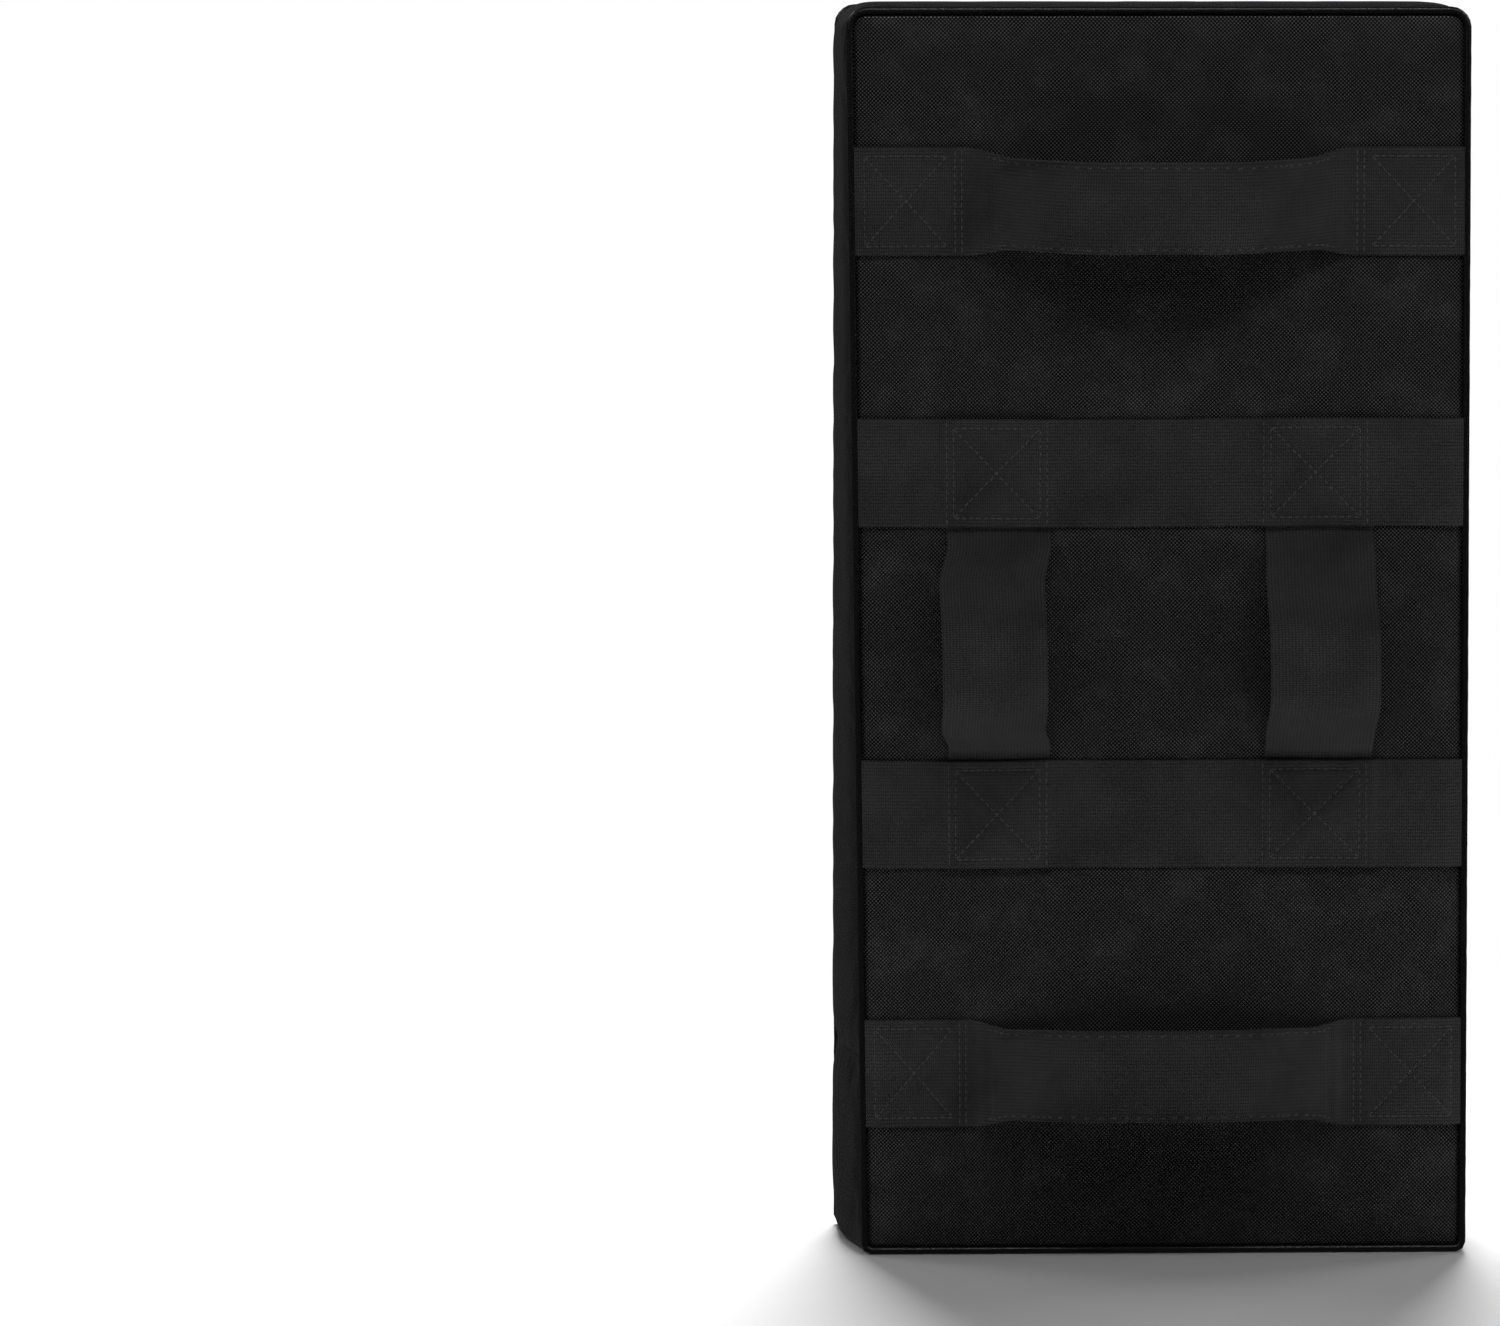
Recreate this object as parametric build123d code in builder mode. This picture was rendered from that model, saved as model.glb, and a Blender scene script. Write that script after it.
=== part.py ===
from build123d import *
from math import cos, radians, sin
import os

os.makedirs("parts", exist_ok=True)

# A kick shield: a boxed slab of layered foam in a zipped vinyl cover, with two padded webbing
# handles and two forearm loops on its back. It stands upright on its lower end. The strike face
# looks towards -Y, the handles stand off towards +Y, and the origin is on the base, at the
# middle of the slab's width and depth. All sizes are in millimetres.

# ------------------------------------------------------------------ slab and cover
WIDTH = 300.0
HEIGHT = 600.0
DEPTH = 120.0
TOP_CORNER = 10.0  # outline radius at the two upper corners
BOTTOM_CORNER = 5.0
VINYL = 1.2  # cover sheet
PIPING = 4.0  # piped seam, across its bead
PIPING_ROUND = 1.6
GUSSET_SEAM = 94.0  # height of the cross seam between the side strip and the base strip

# ------------------------------------------------------------------ foam
STRIKE_LAYER = 24.0  # dense sheet behind the strike face
BACKING_LAYER = 16.0  # firm sheet behind the handles

# ------------------------------------------------------------------ webbing
WEB_WIDTH = 52.0
WEB = 2.0  # webbing thickness
THREAD = 1.0  # width of a stitched line
THREAD_PROUD = 0.5
STITCH_GAP = 3.6  # between the two rows of a double line
BOX_MARGIN = 4.5  # webbing left outside a stitched box

# ------------------------------------------------------------------ handles
UPPER_HANDLE_DROP = 93.0  # top edge of the slab down to the handle's middle
LOWER_HANDLE_RISE = 88.0  # base up to the handle's middle
HANDLE_FOOT = 90.0  # where the strap leaves the back, each side of the middle
HANDLE_CREST = 42.0  # half of the arch's top run, before rounding
HANDLE_STAND_OFF = 42.0  # strap's own middle line above its place on the back
HANDLE_BEND = 55.0
HANDLE_FOOT_BEND = 8.0
HANDLE_SWING = 66.0  # half length of the piece that swings
UPPER_HANDLE_DROOP = 4.0  # degrees that the padded middle hangs at rest
LOWER_HANDLE_DROOP = -3.0  # this one stands up a little
PAD_HEIGHT = 44.0
LINING = 1.5
HAND_GAP = 28.0  # back panel to the palm side at the middle
HAND_GAP_END = 14.5  # the same at the ends of the swinging piece

# ------------------------------------------------------------------ forearm loops
GRIP_BAND_SPACING = 164.0  # between the middles of the two bands
GRIP_OFFSET = -5.0  # the pair's middle, from the slab's middle height
LOOP_SPACING = 155.0
LOOP_STAND_OFF = 44.0
LOOP_TAIL = 46.0  # loop end held under its band
LOOP_LEAD = 4.0  # webbing still flat on the back beyond the band's edge
LOOP_UPPER_RUN = 42.0  # height that the strap takes to reach its full stand-off
LOOP_LOWER_RUN = 24.0
LOOP_BEND = 16.0
LOOP_FOOT_BEND = 1.4 * LOOP_LEAD  # ends before the band's edge
LOOP_UPPER_SPLIT = 15.0  # length of the fixed foot below the upper band's edge
LOOP_LOWER_SPLIT = 12.0
BAND_STEP = 6.0  # webbing each side of a loop's tail that a band takes to climb over it
BAND_SLOPE = 60.0  # degrees

# ------------------------------------------------------------------ zip in the base strip
ZIP_WALL = 1.0  # soft foam left between the zip's groove and the backing layer
ZIP_RECESS = 8.0
GROOVE_MARGIN = 13.0  # from the slab's side to the groove's end
CHAIN_MARGIN = 22.0  # from the groove's end to the chain's stop
GROOVE_HALF_WIDTH = 15.0  # at the base
GROOVE_DRAFT = 3.0  # narrowing of each side up to the groove's roof
ZIP_WINDOW = 11.0  # width of the slot that shows the chain, and its length past each stop
TAPE_TUCK = 2.75  # tape sewn in beyond each end of the slot
ZIP_ROOM = 4.0  # height left in the foam above the groove's roof
TAPE = 0.6
TAPE_WIDTH = 10.5
CHAIN_GAP = 1.6
COIL_WIDTH = 2.4
COIL_HEIGHT = 2.0
SLIDER_LENGTH = 11.0
SLIDER_WIDTH = 10.0
SLIDER_CLEARANCE = 0.3
SLIDER_PLATE = 1.5
SLIDER_POST = 1.0
SLIDER_PARK = 11.0  # from the chain's closed end to the slider's middle
BRIDGE_WIDTH = 3.0
BRIDGE_HALF_LENGTH = 4.0
BRIDGE_HEIGHT = 3.3
BRIDGE_WALL = 0.9
PULL_BAR = 1.2
PULL_LENGTH = 24.0
PULL_WIDTH = 7.2
PULL_EYE_LENGTH = 5.0
STOP_LENGTH = 2.5

# ------------------------------------------------------------------ printed marks on the strike face
PRINT = 0.2
TARGET_HEIGHT = 412.0
TARGET_RING = 46.0
TARGET_RING_WIDTH = 4.0
TARGET_BAND_INSIDE = 27.0
TARGET_SPOT = 13.0
TARGET_SPOT_RING = 3.0
BAR_HEIGHT = 98.0
BAR_LENGTH = 139.0
BAR_WIDTH = 8.0

# ------------------------------------------------------------------ places that follow
BACK = DEPTH / 2
FRONT = -DEPTH / 2
FOAM_FRONT = FRONT + VINYL
FOAM_BACK = BACK - VINYL
STRIKE_JOINT = FOAM_FRONT + STRIKE_LAYER
BACKING_JOINT = FOAM_BACK - BACKING_LAYER
SEAM_X = WIDTH / 2 - PIPING  # where a band's end enters the side seam
GRIP_MIDDLE = HEIGHT / 2 + GRIP_OFFSET
UPPER_BAND = GRIP_MIDDLE + GRIP_BAND_SPACING / 2
LOWER_BAND = GRIP_MIDDLE - GRIP_BAND_SPACING / 2
UPPER_HANDLE = HEIGHT - UPPER_HANDLE_DROP
LOWER_HANDLE = LOWER_HANDLE_RISE
LOOP_TOP = UPPER_BAND - WEB_WIDTH / 2 - LOOP_LEAD
LOOP_BOTTOM = LOWER_BAND + WEB_WIDTH / 2 + LOOP_LEAD
LOOP_X = LOOP_SPACING / 2
GROOVE_HALF_LENGTH = WIDTH / 2 - GROOVE_MARGIN
ZIP_LENGTH = 2 * (GROOVE_HALF_LENGTH - CHAIN_MARGIN)
ZIP_LINE = BACKING_JOINT - ZIP_WALL - VINYL - GROOVE_HALF_WIDTH  # the zip's middle line
CHAIN_TOP = ZIP_RECESS + VINYL  # height of the tape's lower side, on the inside of the groove's roof
SMALLEST_ROUND = 0.3
OVERCUT = 200.0  # size of a cutting block where only its near side matters


def finish(piece, name):
    """Labels a piece and writes it as its own file."""
    piece.part.label = name
    export_step(piece.part, f"parts/{name}.step")


def corner(radius, inset):
    """An outline radius drawn inside its edge."""
    return max(radius - inset, SMALLEST_ROUND)


def pad_outline(y_high, inset):
    """The slab's outline as seen from the front, inset all round, on the plane at y_high."""
    with BuildSketch(Plane.XZ.offset(-y_high)) as outline:
        with Locations((0, HEIGHT / 2)):
            Rectangle(WIDTH - 2 * inset, HEIGHT - 2 * inset)
        fillet(outline.vertices().group_by(Axis.Y)[-1], corner(TOP_CORNER, inset))
        fillet(outline.vertices().group_by(Axis.Y)[0], corner(BOTTOM_CORNER, inset))
    return outline.sketch


def back_plane(height):
    """A plane on the back panel at that height: across is X, and out of the back is its normal."""
    return Plane(origin=(0, BACK, height), x_dir=(-1, 0, 0), z_dir=(0, 1, 0))


# ================================================================== foam core
groove_top = ZIP_RECESS + VINYL + ZIP_ROOM

with BuildPart() as strike_foam:
    # the outer edge is trimmed back all round, where the piped seam lies
    extrude(pad_outline(STRIKE_JOINT, PIPING), amount=STRIKE_LAYER)
    extrude(pad_outline(STRIKE_JOINT, VINYL), amount=STRIKE_JOINT - FRONT - PIPING)
finish(strike_foam, "strike_foam")

with BuildPart() as core_foam:
    extrude(pad_outline(BACKING_JOINT, VINYL), amount=BACKING_JOINT - STRIKE_JOINT)
    # a channel along the base leaves room for the zip and its slider
    with BuildSketch(Plane.XY):
        with Locations((0, ZIP_LINE)):
            Rectangle(2 * (GROOVE_HALF_LENGTH + VINYL), 2 * (GROOVE_HALF_WIDTH + VINYL))
    extrude(amount=groove_top, mode=Mode.SUBTRACT)
finish(core_foam, "core_foam")

with BuildPart() as backing_foam:
    extrude(pad_outline(FOAM_BACK, PIPING), amount=BACKING_LAYER)
    extrude(pad_outline(BACK - PIPING, VINYL), amount=BACK - PIPING - BACKING_JOINT)
finish(backing_foam, "backing_foam")

# ================================================================== printed marks on the strike face
print_plane = Plane.XZ.offset(-FRONT - PRINT)  # the ink lies in the vinyl's surface


def white_ink():
    """A ring, a thin ring round the target's spot, and a bar near the lower end."""
    with BuildSketch(print_plane) as ink:
        with Locations((0, TARGET_HEIGHT)):
            Circle(TARGET_RING)
            Circle(TARGET_RING - TARGET_RING_WIDTH, mode=Mode.SUBTRACT)
            Circle(TARGET_SPOT + TARGET_SPOT_RING)
            Circle(TARGET_SPOT, mode=Mode.SUBTRACT)
        with Locations((0, BAR_HEIGHT)):
            Rectangle(BAR_LENGTH, BAR_WIDTH)
    return ink.sketch


def black_ink():
    """A broad ring inside the white one, and the target's spot."""
    with BuildSketch(print_plane) as ink:
        with Locations((0, TARGET_HEIGHT)):
            Circle(TARGET_RING - TARGET_RING_WIDTH)
            Circle(TARGET_BAND_INSIDE, mode=Mode.SUBTRACT)
            Circle(TARGET_SPOT)
    return ink.sketch


with BuildPart() as white_print:
    extrude(white_ink(), amount=PRINT)
finish(white_print, "white_print")

with BuildPart() as black_print:
    extrude(black_ink(), amount=PRINT)
finish(black_print, "black_print")

# ================================================================== cover
with BuildPart() as front_panel:
    extrude(pad_outline(FRONT + VINYL, PIPING), amount=VINYL)
    extrude(white_ink(), amount=PRINT, mode=Mode.SUBTRACT)
    extrude(black_ink(), amount=PRINT, mode=Mode.SUBTRACT)
finish(front_panel, "front_panel")

with BuildPart() as back_panel:
    extrude(pad_outline(BACK, PIPING), amount=VINYL)
finish(back_panel, "back_panel")


def piping_ring(y_high):
    """Fills the active part with a piped bead round the slab's edge, below y_high."""
    extrude(pad_outline(y_high, 0), amount=PIPING)
    extrude(pad_outline(y_high, PIPING), amount=PIPING, mode=Mode.SUBTRACT)


with BuildPart() as front_piping:
    piping_ring(FRONT + PIPING)
    rims = front_piping.faces().filter_by(Axis.Y)
    fillet([rim.outer_wire().edges() for rim in rims], PIPING_ROUND)
finish(front_piping, "front_piping")

with BuildPart() as back_piping:
    piping_ring(BACK)
    rims = back_piping.faces().filter_by(Axis.Y)
    fillet([rim.outer_wire().edges() for rim in rims], PIPING_ROUND)
finish(back_piping, "back_piping")

gusset_half = BACK - PIPING

with BuildPart() as gusset_upper:
    extrude(pad_outline(gusset_half, 0), amount=2 * gusset_half)
    extrude(pad_outline(gusset_half, VINYL), amount=2 * gusset_half, mode=Mode.SUBTRACT)
    split(bisect_by=Plane.XY.offset(GUSSET_SEAM), keep=Keep.TOP)
finish(gusset_upper, "gusset_upper")


def groove(low, top, growth):
    """The zip's groove as a tapered block, grown outwards by growth."""
    half_length = GROOVE_HALF_LENGTH + growth
    half_width = GROOVE_HALF_WIDTH + growth
    with BuildSketch(Plane.XY.offset(low)) as mouth:
        with Locations((0, ZIP_LINE)):
            Rectangle(2 * half_length, 2 * half_width)
    with BuildSketch(Plane.XY.offset(top)) as roof:
        with Locations((0, ZIP_LINE)):
            Rectangle(2 * (half_length - GROOVE_DRAFT), 2 * (half_width - GROOVE_DRAFT))
    return mouth.sketch, roof.sketch


slot_length = ZIP_LENGTH + 2 * ZIP_WINDOW

with BuildPart() as gusset_lower:
    extrude(pad_outline(gusset_half, 0), amount=2 * gusset_half)
    extrude(pad_outline(gusset_half, VINYL), amount=2 * gusset_half, mode=Mode.SUBTRACT)
    split(bisect_by=Plane.XY.offset(GUSSET_SEAM), keep=Keep.BOTTOM)
    # the strip folds up into a groove, so that the zip lies clear of the floor
    loft(groove(0, ZIP_RECESS + VINYL, VINYL))
    loft(groove(0, ZIP_RECESS, 0), mode=Mode.SUBTRACT)
    # the groove's roof is open where the chain shows
    with BuildSketch(Plane.XY.offset(ZIP_RECESS)):
        with Locations((0, ZIP_LINE)):
            Rectangle(slot_length, ZIP_WINDOW)
    extrude(amount=VINYL, mode=Mode.SUBTRACT)
finish(gusset_lower, "gusset_lower")

# ================================================================== zip


def zip_half(side):
    """The middle of one side's tape, across the zip."""
    return ZIP_LINE + side * (CHAIN_GAP + TAPE_WIDTH) / 2


for side, place in ((-1, "front"), (1, "back")):
    with BuildPart() as tape:
        with BuildSketch(Plane.XY.offset(CHAIN_TOP)):
            with Locations((0, zip_half(side))):
                Rectangle(slot_length + 2 * TAPE_TUCK, TAPE_WIDTH)
        extrude(amount=TAPE)
    finish(tape, f"zip_tape_{place}")

    with BuildPart() as coil:
        with BuildSketch(Plane.XY.offset(CHAIN_TOP - COIL_HEIGHT)):
            with Locations((0, ZIP_LINE + side * (CHAIN_GAP + COIL_WIDTH) / 2)):
                Rectangle(ZIP_LENGTH, COIL_WIDTH)
        extrude(amount=COIL_HEIGHT)
    finish(coil, f"zip_coil_{place}")

with BuildPart() as zip_stops:
    for end in (-1, 1):
        with BuildSketch(Plane.XY.offset(CHAIN_TOP - COIL_HEIGHT)):
            with Locations((end * (ZIP_LENGTH + STOP_LENGTH) / 2, ZIP_LINE)):
                Rectangle(STOP_LENGTH, CHAIN_GAP + 2 * COIL_WIDTH)
        extrude(amount=COIL_HEIGHT)
finish(zip_stops, "zip_stops")

slider_x = -ZIP_LENGTH / 2 + SLIDER_PARK
slider_low = CHAIN_TOP - COIL_HEIGHT - SLIDER_CLEARANCE  # inner side of the outer plate
slider_high = CHAIN_TOP + TAPE + SLIDER_CLEARANCE  # inner side of the upper plate
outer_plate = slider_low - SLIDER_PLATE
throat = CHAIN_GAP + 2 * (COIL_WIDTH + SLIDER_CLEARANCE)

with BuildPart() as zip_slider:
    # outer plate, with a wall up each side of the chain
    with BuildSketch(Plane.XY.offset(outer_plate)) as plate:
        with Locations((slider_x, ZIP_LINE)):
            Rectangle(SLIDER_LENGTH, SLIDER_WIDTH)
        chamfer(plate.vertices(), PULL_BAR)
    extrude(amount=CHAIN_TOP - SLIDER_CLEARANCE - outer_plate)
    with BuildSketch(Plane.XY.offset(slider_low)):
        with Locations((slider_x, ZIP_LINE)):
            Rectangle(OVERCUT, throat)
    extrude(amount=COIL_HEIGHT + SLIDER_CLEARANCE, mode=Mode.SUBTRACT)
    # upper plate over the tapes, held by the post between the two coils
    with BuildSketch(Plane.XY.offset(slider_high)) as upper_plate:
        with Locations((slider_x, ZIP_LINE)):
            Rectangle(SLIDER_LENGTH, SLIDER_WIDTH)
        chamfer(upper_plate.vertices(), PULL_BAR)
    extrude(amount=SLIDER_PLATE)
    with BuildSketch(Plane.XY.offset(slider_low)):
        with Locations((slider_x - SLIDER_LENGTH / 4, ZIP_LINE)):
            Rectangle(SLIDER_LENGTH / 3, SLIDER_POST)
    extrude(amount=slider_high - slider_low)
    # the bridge that the pull hangs on
    with BuildSketch(Plane.XZ.offset(-ZIP_LINE)):
        with Locations((slider_x, outer_plate - BRIDGE_HEIGHT / 2)):
            Rectangle(2 * BRIDGE_HALF_LENGTH, BRIDGE_HEIGHT)
        with Locations((slider_x, outer_plate - (BRIDGE_HEIGHT - BRIDGE_WALL) / 2)):
            Rectangle(
                2 * (BRIDGE_HALF_LENGTH - BRIDGE_WALL),
                BRIDGE_HEIGHT - BRIDGE_WALL,
                mode=Mode.SUBTRACT,
            )
    extrude(amount=BRIDGE_WIDTH / 2, both=True)
finish(zip_slider, "zip_slider")

pull_axis = outer_plate - (BRIDGE_HEIGHT - BRIDGE_WALL) / 2
eye_width = BRIDGE_WIDTH + 2 * SLIDER_CLEARANCE + PULL_BAR / 2

with BuildPart() as zip_pull:
    # a tab with an eye round the bridge, and a hole in its free end
    with BuildSketch(Plane.XY.offset(pull_axis - PULL_BAR / 2)):
        with Locations((slider_x + PULL_LENGTH / 2 - PULL_BAR / 2, ZIP_LINE)):
            SlotOverall(PULL_LENGTH, PULL_WIDTH)
        with Locations((slider_x + (PULL_EYE_LENGTH + PULL_BAR) / 2, ZIP_LINE)):
            Rectangle(PULL_EYE_LENGTH, eye_width, mode=Mode.SUBTRACT)
        with Locations((slider_x + PULL_LENGTH - PULL_WIDTH / 2 - PULL_BAR / 2, ZIP_LINE)):
            Circle(PULL_WIDTH / 4, mode=Mode.SUBTRACT)
    extrude(amount=PULL_BAR)
finish(zip_pull, "zip_pull")

# ================================================================== handles


def handle_path():
    """The line of a handle strap in its own plane: across, and height above the back."""
    flat = WEB / 2
    with BuildLine() as path:
        FilletPolyline(
            (-SEAM_X, flat),
            (-HANDLE_FOOT, flat),
            (-HANDLE_CREST, flat + HANDLE_STAND_OFF),
            (HANDLE_CREST, flat + HANDLE_STAND_OFF),
            (HANDLE_FOOT, flat),
            (SEAM_X, flat),
            radius=[HANDLE_FOOT_BEND, HANDLE_BEND, HANDLE_BEND, HANDLE_FOOT_BEND],
        )
    return path.line


def swing_window(lift):
    """The part of the side view between the palm side, lifted by lift, and the two splits."""
    top = HANDLE_STAND_OFF + 2 * WEB
    with BuildLine() as window:
        palm = ThreePointArc(
            (-HANDLE_SWING, HAND_GAP_END + lift), (0, HAND_GAP + lift), (HANDLE_SWING, HAND_GAP_END + lift)
        )
        Polyline(palm @ 1, (HANDLE_SWING, top), (-HANDLE_SWING, top), palm @ 0)
    return window.edges()


def under_strap(path):
    """Edges that close a handle's path along the back panel."""
    with BuildLine() as base:
        Polyline(path @ 1, (SEAM_X, 0), (-SEAM_X, 0), path @ 0)
    return path.edges() + base.edges()


def pad_section(plane, lift, strap):
    """The swinging piece in side view: all of it with its strap, or only what the strap wraps."""
    path = handle_path()
    with BuildSketch(plane) as section:
        make_face(under_strap(path))
        trace(path, line_width=WEB, mode=strap)
        make_face(swing_window(lift), mode=Mode.INTERSECT)
    return section.sketch


def handle_plane(height, droop):
    """A plane through a handle's swing axis, tipped down by its droop. Its normal runs up."""
    tip = radians(droop)
    return Plane(origin=(0, BACK, height), x_dir=(1, 0, 0), z_dir=(0, sin(tip), cos(tip)))


for name, height, droop in (
    ("upper", UPPER_HANDLE, UPPER_HANDLE_DROOP),
    ("lower", LOWER_HANDLE, LOWER_HANDLE_DROOP),
):
    level = handle_plane(height, 0)
    hanging = handle_plane(height, droop)
    inner_half = PAD_HEIGHT / 2 - WEB

    # the two ends lie flat on the back and climb to where the pad starts
    with BuildPart() as strap_ends:
        with BuildSketch(level):
            trace(handle_path(), line_width=WEB)
        extrude(amount=WEB_WIDTH / 2, both=True)
        with BuildSketch(level):
            Rectangle(2 * HANDLE_SWING, OVERCUT)
        extrude(amount=WEB_WIDTH, both=True, mode=Mode.SUBTRACT)
    finish(strap_ends, f"{name}_handle_strap_ends")

    # the same webbing wraps the pad on its outer side and along both edges
    with BuildPart() as handle_webbing:
        extrude(pad_section(hanging, 0, Mode.ADD), amount=PAD_HEIGHT / 2, both=True)
        extrude(pad_section(hanging, 0, Mode.SUBTRACT), amount=inner_half, both=True, mode=Mode.SUBTRACT)
    finish(handle_webbing, f"{name}_handle_webbing")

    with BuildPart() as handle_foam:
        extrude(pad_section(hanging, LINING, Mode.SUBTRACT), amount=inner_half, both=True)
    finish(handle_foam, f"{name}_handle_foam")

    with BuildPart() as handle_lining:
        extrude(pad_section(hanging, 0, Mode.SUBTRACT), amount=inner_half, both=True)
        above_lining = pad_section(hanging, LINING, Mode.SUBTRACT)
        extrude(above_lining, amount=inner_half, both=True, mode=Mode.SUBTRACT)
    finish(handle_lining, f"{name}_handle_lining")

# ================================================================== grip bands and forearm loops


def band_with_tails(height):
    """Fills the active part with a flat band that climbs over the two loop ends under it."""
    over = WEB_WIDTH + 2 * BAND_STEP
    thickness = 2 * WEB
    with BuildSketch(handle_plane(height, 0)) as side_view:
        with Locations((0, WEB / 2)):
            Rectangle(2 * SEAM_X, WEB)
        with Locations((-LOOP_X, WEB), (LOOP_X, WEB)):
            Trapezoid(over, thickness, BAND_SLOPE)
        with Locations((0, -thickness / 2)):
            Rectangle(2 * SEAM_X, thickness, mode=Mode.SUBTRACT)
        with Locations((-LOOP_X, WEB / 2), (LOOP_X, WEB / 2)):
            Rectangle(WEB_WIDTH, WEB, mode=Mode.SUBTRACT)
    extrude(side_view.sketch, amount=WEB_WIDTH / 2, both=True)


for name, height in (("upper", UPPER_BAND), ("lower", LOWER_BAND)):
    with BuildPart() as grip_band:
        band_with_tails(height)
    finish(grip_band, f"{name}_grip_band")


def loop_path():
    """The line of a forearm loop in side view: depth, and height on the slab."""
    flat = BACK + WEB / 2
    out = BACK + LOOP_STAND_OFF
    with BuildLine() as path:
        FilletPolyline(
            (flat, UPPER_BAND - WEB_WIDTH / 2 + LOOP_TAIL),
            (flat, LOOP_TOP),
            (out, LOOP_TOP - LOOP_UPPER_RUN),
            (out, LOOP_BOTTOM + LOOP_LOWER_RUN),
            (flat, LOOP_BOTTOM),
            (flat, LOWER_BAND + WEB_WIDTH / 2 - LOOP_TAIL),
            radius=[LOOP_FOOT_BEND, LOOP_BEND, LOOP_BEND, LOOP_FOOT_BEND],
        )
    return path.line


swing_low = LOOP_BOTTOM + LOOP_LOWER_SPLIT
swing_high = LOOP_TOP - LOOP_UPPER_SPLIT

for name, x in (("left", LOOP_X), ("right", -LOOP_X)):
    side_plane = Plane.YZ.offset(x)

    with BuildPart() as loop_ends:
        with BuildSketch(side_plane):
            trace(loop_path(), line_width=WEB)
        extrude(amount=WEB_WIDTH / 2, both=True)
        with BuildSketch(side_plane):
            with Locations((BACK, (swing_low + swing_high) / 2)):
                Rectangle(OVERCUT, swing_high - swing_low)
        extrude(amount=WEB_WIDTH, both=True, mode=Mode.SUBTRACT)
    finish(loop_ends, f"{name}_loop_ends")

    with BuildPart() as loop:
        with BuildSketch(side_plane):
            trace(loop_path(), line_width=WEB)
            with Locations((BACK, (swing_low + swing_high) / 2)):
                Rectangle(OVERCUT, swing_high - swing_low, mode=Mode.INTERSECT)
        extrude(amount=WEB_WIDTH / 2, both=True)
    finish(loop, f"{name}_loop_webbing")

# ================================================================== stitching


def stitched_box(x, width, height):
    """One crossed box of thread in the active sketch, centred x across."""
    with BuildSketch(mode=Mode.PRIVATE) as box:
        Rectangle(width, height)
        Rectangle(width - 2 * THREAD, height - 2 * THREAD, mode=Mode.SUBTRACT)
        diagonal = (width**2 + height**2) ** 0.5 - 2 * THREAD
        lean = Vector(width, height).get_angle(Vector(1, 0))
        for turn in (-lean, lean):
            with Locations(Location((0, 0, 0), (0, 0, turn))):
                Rectangle(diagonal, THREAD)
    return box.sketch.moved(Location((x, 0, 0)))


box_height = WEB_WIDTH - 2 * BOX_MARGIN
foot_line = HANDLE_FOOT + HANDLE_FOOT_BEND / 2 + THREAD  # clear of the strap's first bend
end_box_inner = foot_line + 2 * STITCH_GAP
end_box_outer = SEAM_X - STITCH_GAP
end_box_width = end_box_outer - end_box_inner
end_box_x = (end_box_inner + end_box_outer) / 2

for name, height in (("upper", UPPER_HANDLE), ("lower", LOWER_HANDLE)):
    with BuildPart() as handle_stitching:
        with BuildSketch(back_plane(height).offset(WEB)):
            for side in (-1, 1):
                add(stitched_box(side * end_box_x, end_box_width, box_height))
                with Locations((side * foot_line, 0), (side * (foot_line + STITCH_GAP), 0)):
                    Rectangle(THREAD, WEB_WIDTH - THREAD)
        extrude(amount=THREAD_PROUD)
    finish(handle_stitching, f"{name}_handle_stitching")

for name, height in (("upper", UPPER_BAND), ("lower", LOWER_BAND)):
    with BuildPart() as band_stitching:
        with BuildSketch(back_plane(height).offset(2 * WEB)):
            for side in (-1, 1):
                add(stitched_box(side * LOOP_X, box_height, box_height))
        extrude(amount=THREAD_PROUD)
    finish(band_stitching, f"{name}_band_stitching")
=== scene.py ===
# %% [markdown]
# # A kick shield, dressed around its frame
# A kick shield is a boxed slab of foam in a sewn vinyl cover. One person holds it by the webbing
# on its back while another kicks the red face. The design arrives as a frame of plain solids that
# already has the right sizes, bodies and hinges. This lesson gives every solid its real surface:
# vinyl that swells between its seams, webbing with a weave, thread that can be counted. Nothing
# here moves or resizes the frame, so each place below is read from it.

import math

import bmesh
import bpy
import numpy as np
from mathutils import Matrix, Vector, noise
from mathutils.bvhtree import BVHTree


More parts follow.
